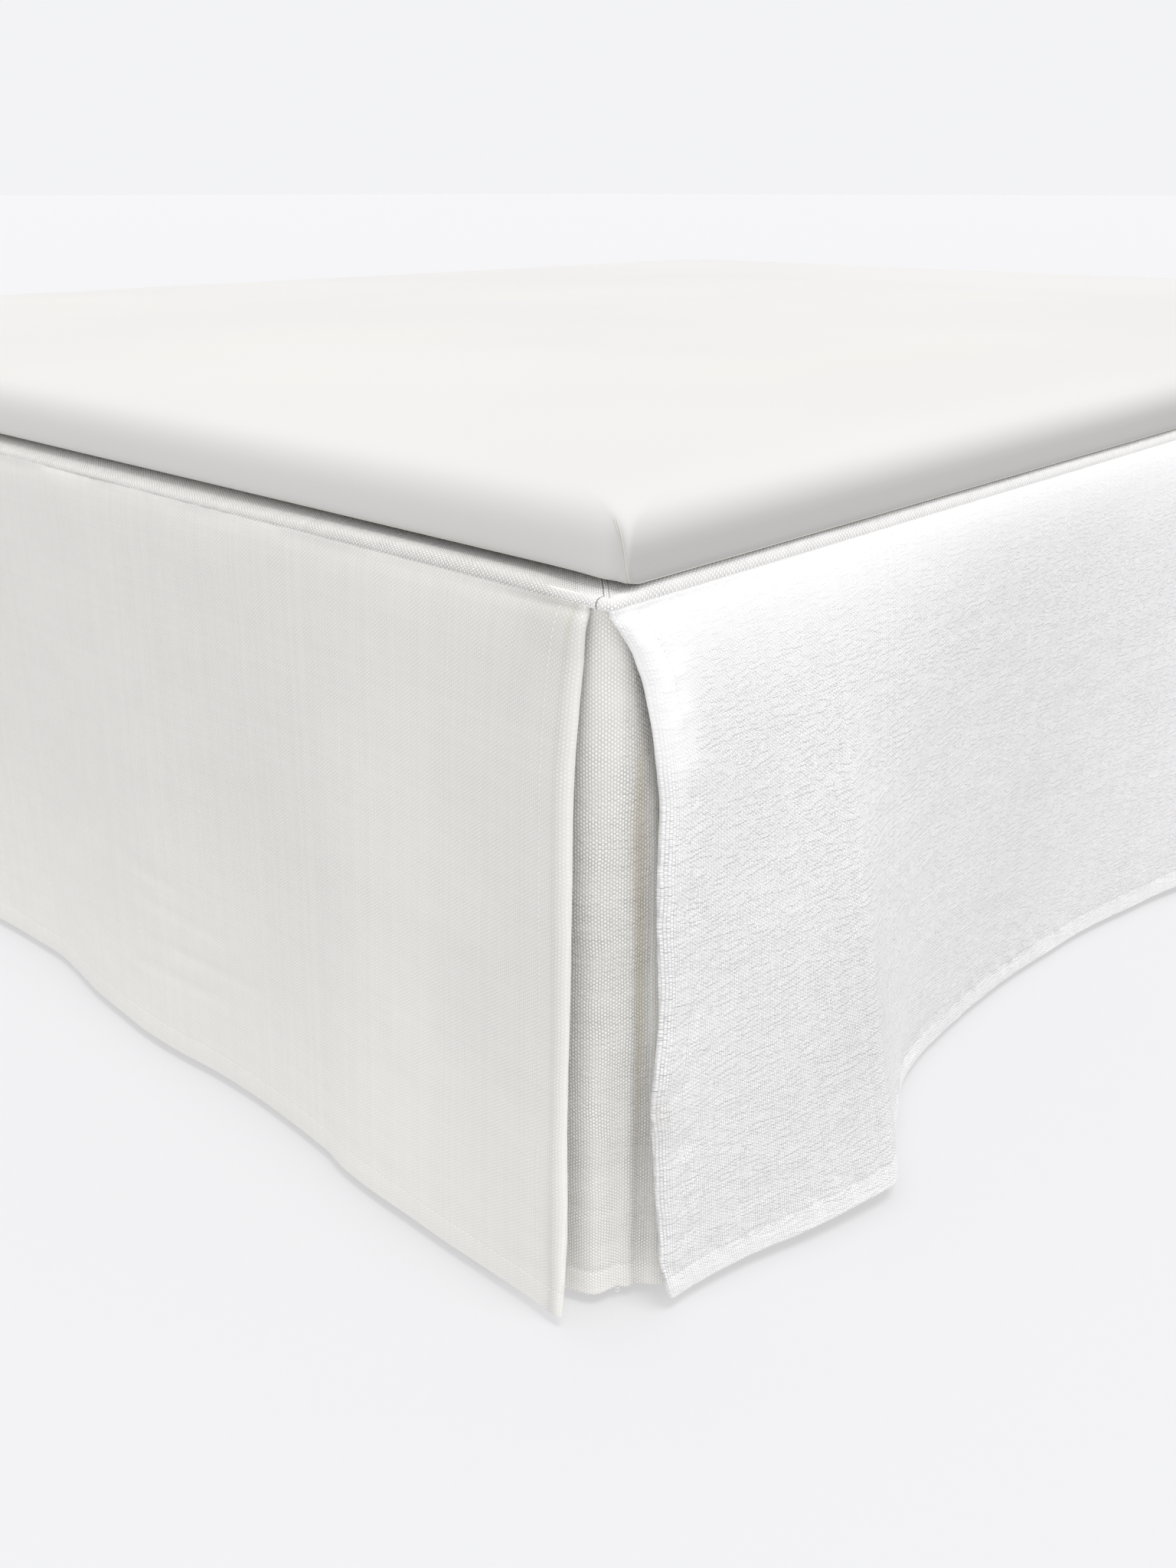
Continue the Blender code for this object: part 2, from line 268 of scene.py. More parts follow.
def capped(numbers: np.ndarray, way: int = -1) -> Faces:
    """Faces between closed rows of point numbers, and one over each end.

    Args:
        numbers: point numbers, one row for each loop.
        way: 1 or -1, the way round in which the first row is walked.

    Returns:
        The faces.
    """
    ends = [tuple(numbers[0][::way].tolist()), tuple(numbers[-1][::-way].tolist())]
    return strip_faces(numbers) + ends


@dataclass
class Sheet:
    """A sheet of cloth on a grid of points, with its own front, back and round edges.

    The first axis of each grid runs along the cloth, the second one down its drop.
    """

    name: str
    middle: np.ndarray
    along: np.ndarray
    depth: np.ndarray
    front: np.ndarray
    back: np.ndarray
    painted_shading: np.ndarray
    facing: float

    RIM_TURNS = (45.0, 90.0, 135.0)
    END_TURNS = (30.0, 60.0)

    def normals(self) -> np.ndarray:
        """Find the unit vectors out of the front.

        Returns:
            One for each point of the grid.
        """
        across = np.gradient(self.middle, axis=0)
        down = np.gradient(self.middle, axis=1)
        return self.facing * unit(np.cross(down, across))

    def front_points(self) -> np.ndarray:
        """The points of the front."""
        return self.middle + self.normals() * self.front[..., None]

    def _loop(
        self, column: int, normal: np.ndarray, turn: float, outward: np.ndarray,
    ) -> np.ndarray:
        """One closed loop round the cloth: front down, hem, back up, top edge.

        Args:
            column: which column of the grid.
            normal: unit vectors out of the front there, one a row.
            turn: how far round the side edge it lies, 0 to 90 degrees.
            outward: unit vectors along the cloth, out of that edge, one a row.

        Returns:
            The loop's points.
        """
        half = (self.front[column] + self.back[column])[:, None] / 2
        lean = (self.front[column] - self.back[column])[:, None] / 2
        centre = self.middle[column] + normal * lean
        centre = centre + outward * half * math.sin(math.radians(turn))
        half = half * math.cos(math.radians(turn))
        down = unit(np.gradient(self.middle[column], axis=0))
        rims = []
        for row, way in ((-1, 1.0), (0, -1.0)):
            rims.append([
                centre[row]
                + way * normal[row] * half[row] * math.cos(math.radians(angle))
                + way * down[row] * half[row] * math.sin(math.radians(angle))
                for angle in self.RIM_TURNS
            ])
        return np.concatenate([
            centre + normal * half, rims[0], (centre - normal * half)[::-1], rims[1],
        ])

    def build(self) -> bpy.types.Object:
        """Make the closed mesh.

        Returns:
            The sheet's object.
        """
        normals = self.normals()
        columns, rows = self.front.shape
        last = columns - 1
        near = unit(self.middle[0] - self.middle[1])
        far = unit(self.middle[-1] - self.middle[-2])
        turned = [(0, turn, near) for turn in reversed(self.END_TURNS)]
        turned += [(column, 0.0, np.zeros((rows, 3))) for column in range(columns)]
        turned += [(last, turn, far) for turn in self.END_TURNS]
        loops = [self._loop(column, normals[column], turn, way) for column, turn, way in turned]
        edges = [
            self._loop(column, normals[column], 90.0, way)[:rows]
            for column, way in ((0, near), (last, far))
        ]
        rim = len(self.RIM_TURNS)
        row_of = np.concatenate([
            np.arange(rows), np.full(rim, rows - 1), np.arange(rows)[::-1], np.zeros(rim, int),
        ])
        column_of = np.array([column for column, _, _ in turned])
        size = len(row_of)
        numbers = np.concatenate([
            row_of[None, :],
            rows + np.arange(size * len(loops)).reshape(-1, size),
            rows + size * len(loops) + row_of[None, :],
        ])
        cloth = np.concatenate([
            np.stack([np.full(rows, self.along[0]), self.depth], axis=-1),
            np.stack(np.broadcast_arrays(
                self.along[column_of][:, None], self.depth[row_of][None, :],
            ), axis=-1).reshape(-1, 2),
            np.stack([np.full(rows, self.along[-1]), self.depth], axis=-1),
        ])
        painted_shading = np.concatenate([
            self.painted_shading[0], self.painted_shading[column_of[:, None], row_of[None, :]].ravel(), self.painted_shading[-1],
        ])
        points = np.concatenate([edges[0], *loops, edges[1]])
        return new_object(self.name, points, strip_faces(numbers), cloth, painted_shading)

    def read(self, along: np.ndarray, depth: np.ndarray) -> tuple[np.ndarray, ...]:
        """Find points of the front by their place on the cloth.

        Args:
            along: distances along the cloth.
            depth: depths down its drop, as many.

        Returns:
            The points, and the unit vectors out of the cloth there.
        """
        a = np.interp(along, self.along, np.arange(len(self.along)))
        d = np.interp(depth, self.depth, np.arange(len(self.depth)))
        a0 = np.clip(a.astype(int), 0, len(self.along) - 2)
        d0 = np.clip(d.astype(int), 0, len(self.depth) - 2)
        s, t = (a - a0)[:, None], (d - d0)[:, None]
        found = []
        for grid in (self.front_points(), self.normals()):
            upper = grid[a0, d0] * (1 - s) + grid[a0 + 1, d0] * s
            lower = grid[a0, d0 + 1] * (1 - s) + grid[a0 + 1, d0 + 1] * s
            found.append(upper * (1 - t) + lower * t)
        return found[0], unit(found[1])


@dataclass(frozen=True)
class Stitching:
    """Rows of sewn stitches, each a short thread that dips in at both its ends."""

    pitch: float = 0.0036
    length: float = 0.0029
    radius: float = 0.00022

    SIDES = 6
    # Along a thread, in radii: how thick it is, and how high it lies
    SWELL = (0.25, 0.85, 1.0, 0.85, 0.25)
    RISE = (-0.9, 0.25, 0.6, 0.25, -0.9)

    def build(self, name: str, runs: Runs) -> bpy.types.Object:
        """Sew the rows.

        Args:
            name: the piece's name.
            runs: where the stitches sit, row by row.

        Returns:
            One object that holds every stitch.
        """
        count = len(self.SWELL)
        place = np.linspace(-0.5, 0.5, count)[:, None, None] * self.length
        swell = np.array(self.SWELL)[:, None] * self.radius
        rise = np.array(self.RISE)[:, None] * self.radius
        angle = np.arange(self.SIDES) * 2 * math.pi / self.SIDES
        numbers = np.arange(count * self.SIDES).reshape(count, self.SIDES)
        points, faces = [], []
        for centres, normals in runs:
            ways = unit(np.gradient(centres, axis=0))
            for centre, normal, way in zip(centres, normals, ways):
                faces += capped(len(points) * numbers.size + numbers)
                ring = (
                    centre
                    + way * place
                    + normal * (rise + np.cos(angle) * swell)[..., None]
                    + np.cross(way, normal) * (np.sin(angle) * swell)[..., None]
                )
                points.append(ring.reshape(-1, 3))
        return new_object(name, np.concatenate(points), faces)


HEM_STITCHES = Stitching()
SEAM_STITCHES = Stitching(length=0.0028)

CORD_SIDES = 6
CORD_TIP = 0.35              # a cord's open end, as a share of its radius


def cord(name: str, line: np.ndarray, radius: float, closed: bool) -> bpy.types.Object:
    """A round cord along a line of points, tapered at open ends.

    Args:
        name: the piece's name.
        line: the points that its centre follows.
        radius: its radius.
        closed: whether the line closes on itself.

    Returns:
        The cord's object.
    """
    before, after = np.roll(line, 1, axis=0), np.roll(line, -1, axis=0)
    swell = np.full(len(line), radius)
    if not closed:
        before[0], after[-1] = line[0], line[-1]
        swell[[0, -1]] *= CORD_TIP
    way = unit(after - before)
    first = unit(np.cross(way, np.array([0.03, 0.02, 1.0])))
    second = np.cross(way, first)
    angle = (np.arange(CORD_SIDES) * 2 * math.pi / CORD_SIDES)[:, None]
    around = np.cos(angle) * first[:, None] + np.sin(angle) * second[:, None]
    rings = line[:, None] + around * swell[:, None, None]
    numbers = np.arange(len(line) * CORD_SIDES).reshape(-1, CORD_SIDES)
    faces = strip_faces(np.concatenate([numbers, numbers[:1]])) if closed else capped(numbers)
    return new_object(name, rings.reshape(-1, 3), faces)


@dataclass(frozen=True)
class PlanPath:
    """The outline of a rounded rectangle in plan, walked anticlockwise.

    It starts at the right foot corner. Each side's places are graded, and each corner has
    a few steps of its own, so that rings at any inset have the same points.
    """

    half_width: float
    foot: float
    head: float
    radius: float
    fine: float = 0.005
    coarse: float = 0.012

    FINE_UNTIL = 0.85            # from the right foot corner, along both its sides
    CORNER_STEPS = 8
    LEAST_RADIUS = 0.0003
    # Which way each corner lies, and where its turn starts, in degrees
    CORNERS = ((1, -1, -90.0), (1, 1, 0.0), (-1, 1, 90.0), (-1, -1, 180.0))

    def _sides(self) -> list[np.ndarray]:
        """Grade the straight sides, finer near the right foot corner.

        Returns:
            Shares of the way along each side, in the order in which they are walked.
        """
        long, short = self.head - self.foot, 2 * self.half_width
        shares = []
        for number, length in enumerate((long, short, long, short)):
            length -= 2 * self.radius
            middle, last = [], self.coarse
            if number == 0:
                middle = [(self.FINE_UNTIL, self.fine)]
            elif number == 3:
                middle, last = [(length - self.FINE_UNTIL, self.coarse)], self.fine
            shares.append(spaced((
                (0.004, 0.001), (0.016, 0.002), (0.04, 0.004), *middle, (length - 0.04, last),
                (length - 0.016, 0.002), (length - 0.004, 0.001), (length, 0.001),
            )) / length)
        return shares

    def rings(
        self, insets: np.ndarray, radii: np.ndarray | None = None,
    ) -> tuple[np.ndarray, np.ndarray, np.ndarray]:
        """Rings of plan points, one for each inset.

        Args:
            insets: how far each ring lies inside the outline; below 0 is outside.
            radii: each ring's corner radius, or None for the outline's, moved in.

        Returns:
            The rings' points, the outward unit vectors, and the distances walked along
            the ring nearest to the outline.
        """
        sides = self._sides()
        turns = 90.0 * np.arange(self.CORNER_STEPS + 1) / self.CORNER_STEPS
        points, outward = [], []
        if radii is None:
            radii = self.radius - insets
        for inset, radius in zip(insets, np.maximum(radii, self.LEAST_RADIUS)):
            arcs, ways = [], []
            for sign_x, sign_y, start in self.CORNERS:
                x = sign_x * (self.half_width - inset - radius)
                y = self.head - inset - radius if sign_y > 0 else self.foot + inset + radius
                turn = np.radians(start + turns)
                way = np.stack([np.cos(turn), np.sin(turn)], axis=-1)
                arcs.append(np.array([x, y]) + radius * way)
                ways.append(way)
            ring, facing = [], []
            for number, shares in enumerate(sides):
                start, end = arcs[number][-1], arcs[(number + 1) % 4][0]
                straight = start + (end - start) * shares[1:-1, None]
                ring += [arcs[number], straight]
                facing += [ways[number], np.repeat(ways[number][-1:], len(straight), axis=0)]
            points.append(np.concatenate(ring))
            outward.append(np.concatenate(facing))
        middle = np.argmin(np.abs(insets))
        return np.array(points), np.array(outward), travelled(points[middle])


# ---------------------------------------------------------------- finishes


class NodeSketch:
    """A material's nodes, drawn one after the other."""

    def __init__(self, name: str) -> None:
        """Start a material with a Principled shader of its own.

        Args:
            name: the material's name.
        """
        self.material = bpy.data.materials.new(name)
        self.material.use_nodes = True
        self.tree = self.material.node_tree
        self.shader = self.tree.nodes["Principled BSDF"]

    def add(self, kind: str, inputs: dict | None = None, **settings: object) -> bpy.types.Node:
        """Add a node.

        Args:
            kind: the node's type, without the word ShaderNode.
            inputs: socket names or numbers, each with a socket or a value.
            **settings: the node's own settings.

        Returns:
            The node.
        """
        node = self.tree.nodes.new("ShaderNode" + kind)
        for setting, value in settings.items():
            setattr(node, setting, value)
        for key, value in (inputs or {}).items():
            self.put(node.inputs[key], value)
        return node

    def put(self, socket: bpy.types.NodeSocket, value: Value) -> None:
        """Link a socket, or give it a fixed value.

        Args:
            socket: the input.
            value: another node's output, or the value.
        """
        if isinstance(value, bpy.types.NodeSocket):
            self.tree.links.new(value, socket)
        else:
            socket.default_value = value

    def on_cloth(self) -> bpy.types.NodeSocket:
        """Places on the cloth, in metres."""
        return self.add("UVMap", uv_map=CLOTH_MAP).outputs[0]

    def on_object(self) -> bpy.types.NodeSocket:
        """Places in the piece's own coordinates, in metres."""
        return self.add("TexCoord").outputs["Object"]

    def painted_shading(self) -> bpy.types.NodeSocket:
        """Painted light at each point, as a share, painted shade where below 0."""
        return self.add("Attribute", attribute_name=PAINTED_SHADING_NAME).outputs["Fac"]

    def stretched(self, place: Value, scale: tuple, turn: float = 0.0) -> bpy.types.NodeSocket:
        """Places scaled axis by axis, after a turn about Z."""
        return self.add("Mapping", {0: place, 2: (0.0, 0.0, turn), 3: scale}).outputs[0]

    def maths(self, operation: str, *values: Value) -> bpy.types.NodeSocket:
        """Work out a number from up to three others."""
        return self.add("Math", dict(enumerate(values)), operation=operation).outputs[0]

    def plus(self, first: Value, second: Value) -> bpy.types.NodeSocket:
        """Add two numbers."""
        return self.maths("ADD", first, second)

    def minus(self, first: Value, second: Value) -> bpy.types.NodeSocket:
        """Take one number from another."""
        return self.maths("SUBTRACT", first, second)

    def times(self, first: Value, second: Value) -> bpy.types.NodeSocket:
        """Multiply two numbers."""
        return self.maths("MULTIPLY", first, second)

    def scaled(self, value: Value, factor: Value, shift: Value) -> bpy.types.NodeSocket:
        """Multiply a number by a factor, then add a shift."""
        return self.maths("MULTIPLY_ADD", value, factor, shift)

    def noise(self, place: Value, scale: float, detail: float = 2.0) -> bpy.types.NodeSocket:
        """Noise from 0 to 1, of so many cells a metre."""
        inputs = {"Vector": place, "Scale": scale, "Detail": detail, "Roughness": 0.55}
        return self.add("TexNoise", inputs, noise_dimensions="3D").outputs["Fac"]

    def scatter(self, value: Value) -> bpy.types.NodeSocket:
        """A random number from 0 to 1 for each whole value."""
        return self.add("TexWhiteNoise", {"W": value}, noise_dimensions="1D").outputs["Value"]

    def spread(
        self, value: Value, low: float, high: float, to_low: float, to_high: float,
    ) -> bpy.types.NodeSocket:
        """Spread a range smoothly over another one, keeping inside it.

        Args:
            value: the number to place.
            low: where its range starts.
            high: where it ends.
            to_low: what the start becomes.
            to_high: what the end becomes.

        Returns:
            The number in the other range.
        """
        inputs = {0: value, 1: low, 2: high, 3: to_low, 4: to_high}
        node = self.add("MapRange", inputs, interpolation_type="SMOOTHSTEP", clamp=True)
        return node.outputs[0]

    def blend(self, share: Value, low: Value, high: Value) -> bpy.types.NodeSocket:
        """Blend two colours."""
        inputs = {0: share, 6: low, 7: high}
        return self.add("Mix", inputs, data_type="RGBA").outputs[2]

    def shade(self, colour: Value, factor: Value) -> bpy.types.NodeSocket:
        """Multiply a colour by a number.

        Args:
            colour: the colour.
            factor: the number.

        Returns:
            The colour, lighter or darker.
        """
        if isinstance(colour, tuple):
            colour = colour[:3]
        return self.add("VectorMath", {0: colour, 3: factor}, operation="SCALE").outputs[0]

    def relief(self, height: Value, depth: float, under: Value | None = None) -> bpy.types.NodeSocket:
        """Turn heights into relief, over other relief if there is any.

        Args:
            height: heights from 0 to 1.
            depth: how deep the relief is, in metres.
            under: the relief below it, or None.

        Returns:
            The relief, as normals.
        """
        inputs = {"Height": height, "Distance": depth, "Strength": 1.0}
        if under is not None:
            inputs["Normal"] = under
        return self.add("Bump", inputs).outputs[0]

    def finish(
        self, colour: Value, normal: Value | None, roughness: Value, sheen: float,
        specular: float,
    ) -> bpy.types.Material:
        """Set the shader.

        Args:
            colour: the surface's colour.
            normal: its relief, or None.
            roughness: how rough it is.
            sheen: how much light its fibres catch.
            specular: how strongly it reflects.

        Returns:
            The material.
        """
        self.put(self.shader.inputs["Base Color"], colour)
        self.put(self.shader.inputs["Roughness"], roughness)
        if normal is not None:
            self.put(self.shader.inputs["Normal"], normal)
        self.shader.inputs["Sheen Weight"].default_value = sheen
        self.shader.inputs["Sheen Roughness"].default_value = 0.5
        self.shader.inputs["Specular IOR Level"].default_value = specular
        return self.material


def rgb(red: float, green: float, blue: float) -> tuple[float, float, float, float]:
    """A linear colour with full alpha."""
    return (red, green, blue, 1.0)


@dataclass(frozen=True)
class WovenCloth:
    """Coarse plain-woven cotton: round warp floats over a thinner weft, washed once."""

    name: str
    yarn: tuple = rgb(0.755, 0.746, 0.713)       # the cloth's mean colour
    depth: float = 0.00030       # of the weave's relief
    contrast: float = 0.40       # how far floats and gaps differ, as a share of the tone; the gaps carry painted shade
    weft_rise: float = 0.35      # how high the weft floats stand, as a share of the warp's
    mottle: float = 0.04         # slow drift of its tone
    washed: float = 0.0          # depth of the fine creases of washing
    weave_under_light: float = 0.5      # share of the weave that still shows where painted light is strongest
    cloud: float = 5.5           # patches of tone to a metre
    neps: float = 0.5            # how dark the specks of husk are
    shade_tint: tuple = (1.0, 0.955, 0.875)      # what light does in a fold of undyed cloth

    WARP_PITCH = 0.00158
    WEFT_PITCH = 0.00120
    WARP_SWAY = 1.6              # how far a thread strays from its place, in pitches
    WEFT_SWAY = 2.2
    FIBRES = (900.0, 1500.0, 1.0)                # to a metre, across and down
    FIBRE_SHARE = 0.12           # of the weave's height
    WEAVE_FADE_LIGHT = 0.15            # painted light at which the weave has faded to weave_under_light
    IN_SHADE = (-0.22, -0.05)    # painted shade at which the shade tint is full, and none
    CREASES = (62.0, 210.0, 1.0)                 # to a metre, across and down
    CREASE_SLANT = 0.45
    THREAD_TONE = 0.02           # how far the threads differ in tone
    HUSK = rgb(0.46, 0.43, 0.37)

    def material(self) -> bpy.types.Material:
        """Draw the weave.

        Returns:
            The material, which reads the cloth map and the attribute of painted light and shade.
        """
        n = NodeSketch(self.name)
        place, painted_shading = n.on_cloth(), n.painted_shading()
        across, down = n.add("SeparateXYZ", {0: place}).outputs[:2]
        sway = n.minus(n.noise(place, 26.0), 0.5)
        drift = n.minus(n.noise(place, 31.0), 0.5)
        warp = n.scaled(sway, self.WARP_SWAY, n.maths("DIVIDE", across, self.WARP_PITCH))
        weft = n.scaled(drift, self.WEFT_SWAY, n.maths("DIVIDE", down, self.WEFT_PITCH))
        warp_float, warp_number = self._float(n, warp, weft, 0.0)
        weft_float, weft_number = self._float(n, weft, warp, math.pi)
        height = n.maths("MAXIMUM", warp_float, n.times(weft_float, self.weft_rise))
        fibres = n.noise(n.stretched(place, self.FIBRES), 1.0, 3.0)
        height = n.scaled(fibres, self.FIBRE_SHARE, height)
        left = n.spread(painted_shading, 0.0, self.WEAVE_FADE_LIGHT, 1.0, self.weave_under_light)
        tone = n.scaled(n.scatter(warp_number), self.THREAD_TONE, 0.990)
        tone = n.scaled(n.scatter(n.plus(weft_number, 0.37)), self.THREAD_TONE, tone)
        cloud = n.minus(n.noise(place, self.cloud, 3.0), 0.5)
        tone = n.scaled(cloud, 2 * self.mottle, n.minus(tone, 0.010))
        # painted light makes the yarn paler, painted shade makes it greyer
        colour = n.shade(self._floats_and_gaps(n, place, height, left), n.plus(painted_shading, tone))
        # painted shade is tinted warm, as light bounced in a fold
        tinted = n.add("VectorMath", {0: colour, 1: self.shade_tint}, operation="MULTIPLY")
        colour = n.blend(n.spread(painted_shading, *self.IN_SHADE, 1.0, 0.0), colour, tinted.outputs[0])
        colour = n.blend(self._neps(n, place), colour, self.HUSK)
        under = n.relief(self._creases(n, place, painted_shading), self.washed)
        return n.finish(colour, n.relief(n.times(height, left), self.depth, under), 0.93, 0.12, 0.22)

    def _floats_and_gaps(self, n: NodeSketch, place: Value, height: Value, left: Value) -> Value:
        """Paint shade into the gaps of the weave, less so where the cloth is felted or under painted
        light.

        Args:
            n: the material's sketch.
            place: places on the cloth.
            height: the weave's heights.
            left: share of the weave that still shows.

        Returns:
            The yarn's colour.
        """
        least, most = 0.65 * self.contrast, 1.15 * self.contrast
        felted = n.times(n.spread(n.noise(place, 60.0, 3.0), 0.36, 0.62, most, least), left)
        shown = n.minus(n.spread(height, 0.12, 0.80, 0.0, 1.0), 0.62)
        return n.shade(self.yarn, n.scaled(shown, felted, 1.0))

    def _creases(self, n: NodeSketch, place: Value, painted_shading: Value) -> Value:
        """Draw the slanting wash creases, flatter under painted light.

        Args:
            n: the material's sketch.
            place: places on the cloth.
            painted_shading: the painted light and shade there.

        Returns:
            Their heights, from 0 to 1.
        """
        slanted = n.stretched(place, self.CREASES, self.CREASE_SLANT)
        valley = n.maths("ABSOLUTE", n.minus(n.noise(slanted, 1.0, 3.0), 0.5))
        crease = n.spread(valley, 0.0, 0.16, 0.0, 1.0)
        return n.times(crease, n.spread(painted_shading, 0.0, 0.10, 1.0, 0.25))

    def _float(
        self, n: NodeSketch, across: Value, along: Value, phase: float,
    ) -> tuple[Value, Value]:
        """One set of threads: how high each stands where it lies on top.

        Args:
            n: the material's sketch.
            across: thread numbers, counted across the threads.
            along: numbers of the threads they cross.
            phase: 0 for the set that is on top where both numbers are even.

        Returns:
            The height and the thread's number.
        """
        number = n.maths("FLOOR", across)
        slub = n.add("CombineXYZ", {0: n.times(number, 3.7), 1: n.times(along, 0.045)})
        slub_share = n.spread(n.noise(slub.outputs[0], 1.0, 1.0), 0.62, 0.78, 0.0, 0.35)
        thick = n.plus(n.scaled(n.scatter(number), 0.12, 0.92), slub_share)
        off = n.maths("DIVIDE", n.minus(n.maths("FRACT", across), 0.5), thick)
        off = n.maths("MINIMUM", n.maths("ABSOLUTE", off), 0.5)
        section = n.maths("POWER", n.maths("COSINE", n.times(off, math.pi)), 0.6)
        angle = n.times(n.plus(n.minus(along, 0.5), number), math.pi)
        wave = n.scaled(n.maths("COSINE", n.plus(angle, phase)), 0.5, 0.5)
        return n.times(section, n.maths("POWER", wave, 0.8)), number

    def _neps(self, n: NodeSketch, place: Value) -> bpy.types.NodeSocket:
        """Scatter tiny dark specks of seed husk, far apart.

        Args:
            n: the material's sketch.
            place: places on the cloth.

        Returns:
            Their share of the colour.
        """
        cells = n.add("TexVoronoi", {"Vector": place, "Scale": 38.0}).outputs
        speck = n.spread(cells["Distance"], 0.012, 0.034, 1.0, 0.0)
        drawn = n.add("SeparateXYZ", {0: cells["Color"]}).outputs[0]
        return n.times(n.times(speck, n.maths("GREATER_THAN", drawn, 0.90)), self.neps)


@dataclass(frozen=True)
class SmoothSheeting:
    """Fine percale with a soft sheen, too fine to show its threads from afar."""

    name: str
    colour: tuple = rgb(0.662, 0.656, 0.636)
    warm: tuple = rgb(0.670, 0.655, 0.618)

    def material(self) -> bpy.types.Material:
        """Draw the sheeting.

        Returns:
            The material, which reads object coordinates and the attribute of painted shade.
        """
        n = NodeSketch(self.name)
        place = n.on_object()
        threads = n.noise(n.stretched(place, (2600.0, 2600.0, 2600.0)), 1.0, 1.0)
        soft = n.spread(n.noise(place, 3.2, 2.0), 0.50, 0.66, 0.0, 0.45)
        colour = n.blend(soft, self.colour, self.warm)
        colour = n.shade(colour, n.spread(n.noise(place, 1.7, 2.0), 0.3, 0.7, 0.975, 1.01))
        colour = n.shade(colour, n.scaled(threads, 0.03, 0.985))
        # painted shade on the sheet's long sides and beside its corner seams
        colour = n.shade(colour, n.plus(n.painted_shading(), 1.0))
        return n.finish(colour, n.relief(threads, 0.00003), 0.55, 0.0, 0.15)


@dataclass(frozen=True)
class SewingThread:
    """Two-ply cotton thread."""

    name: str
    colour: tuple = rgb(0.88, 0.875, 0.86)

    def material(self) -> bpy.types.Material:
        """Draw the thread.

        Returns:
            The material, which reads object coordinates.
        """
        n = NodeSketch(self.name)
        plies = n.noise(n.on_object(), 2600.0, 1.0)
        colour = n.shade(self.colour, n.scaled(plies, 0.16, 0.92))
        return n.finish(colour, n.relief(plies, 0.00008), 0.75, 0.15, 0.3)


@dataclass(frozen=True)
class TwilledCover:
    """The base's plain cover, a close twill."""

    name: str
    colour: tuple = rgb(0.62, 0.60, 0.56)
    pitch: float = 0.0009
    slant: float = 0.62          # how far the ribs lean, across for each step down

    def material(self) -> bpy.types.Material:
        """Draw the twill.

        Returns:
            The material, which reads the cloth map.
        """
        n = NodeSketch(self.name)
        place = n.on_cloth()
        across, down = n.add("SeparateXYZ", {0: place}).outputs[:2]
        ribs = n.maths("DIVIDE", n.scaled(down, self.slant, across), self.pitch)
        ribs = n.scaled(n.noise(place, 60.0), 0.8, ribs)
        rib = n.scaled(n.maths("COSINE", n.times(ribs, 2 * math.pi)), 0.5, 0.5)
        height = n.scaled(n.noise(place, 1400.0, 2.0), 0.4, rib)
        cloud = n.scaled(n.noise(place, 7.0, 3.0), 0.12, 0.82)
        colour = n.shade(self.colour, n.scaled(height, 0.16, cloud))
        return n.finish(colour, n.relief(height, 0.00016), 0.92, 0.2, 0.2)


@dataclass(frozen=True)
class OiledWood:
    """Straight-grained hardwood with an oiled finish, its grain along Z."""

    name: str
    pale: tuple = rgb(0.50, 0.33, 0.19)
    dark: tuple = rgb(0.27, 0.155, 0.08)
    pore: tuple = rgb(0.12, 0.07, 0.04)

    def material(self) -> bpy.types.Material:
        """Draw the grain.

        Returns:
            The material, which reads object coordinates.
        """
        n = NodeSketch(self.name)
        place = n.on_object()
        long = n.stretched(place, (1.0, 1.0, 0.07))
        wander = n.noise(long, 9.0, 3.0)
        rings = n.add("TexWave", {
            "Vector": long, "Scale": 34.0, "Distortion": 5.0, "Detail": 3.0, "Detail Scale": 1.4,
        }, wave_type="RINGS", rings_direction="Z").outputs["Fac"]
        pores = n.noise(n.stretched(place, (1.0, 1.0, 0.03)), 900.0, 2.0)
        pores = n.spread(pores, 0.60, 0.72, 0.0, 1.0)
        colour = n.blend(n.times(rings, 0.75), self.pale, self.dark)
        colour = n.shade(colour, n.scaled(wander, 0.35, 0.82))
        colour = n.blend(n.times(pores, 0.5), colour, self.pore)
        height = n.scaled(pores, -0.6, rings)
        return n.finish(colour, n.relief(height, 0.00008), n.scaled(pores, 0.2, 0.48), 0.0, 0.4)


@dataclass(frozen=True)
class PaintedFloor:
    """The studio's plain pale floor, faintly lit from below as a backdrop table is."""

    name: str
    colour: tuple = rgb(0.297, 0.297, 0.301)
    glow: tuple = rgb(0.494, 0.494, 0.500)

    def material(self) -> bpy.types.Material:
        """Draw the floor, a little uneven in tone.

        Returns:
            The material, which reads object coordinates.
        """
        n = NodeSketch(self.name)
        tone = n.scaled(n.noise(n.on_object(), 0.8, 2.0), 0.01, 0.995)
        n.shader.inputs["Emission Color"].default_value = self.glow
        n.shader.inputs["Emission Strength"].default_value = 1.0
        return n.finish(n.shade(self.colour, tone), None, 0.9, 0.0, 0.1)


def dress(
    obj: bpy.types.Object, material: bpy.types.Material, slot: Slot, *nodes: str,
) -> bpy.types.Object:
    """Give a piece its finish, its body and the solids that it stands for.

    Args:
        obj: the piece.
        material: its finish.
        slot: the record's slot that the finish belongs to; not used.
        *nodes: the solids that it stands for.

    Returns:
        The piece.
    """
    obj.data.materials.clear()
    obj.data.materials.append(material)
    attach(obj, BODY)
    if nodes:
        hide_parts(*nodes)
    LOG.info("%s: %d faces", obj.name, len(obj.data.polygons))
    return obj


# ---------------------------------------------------------------- the skirt


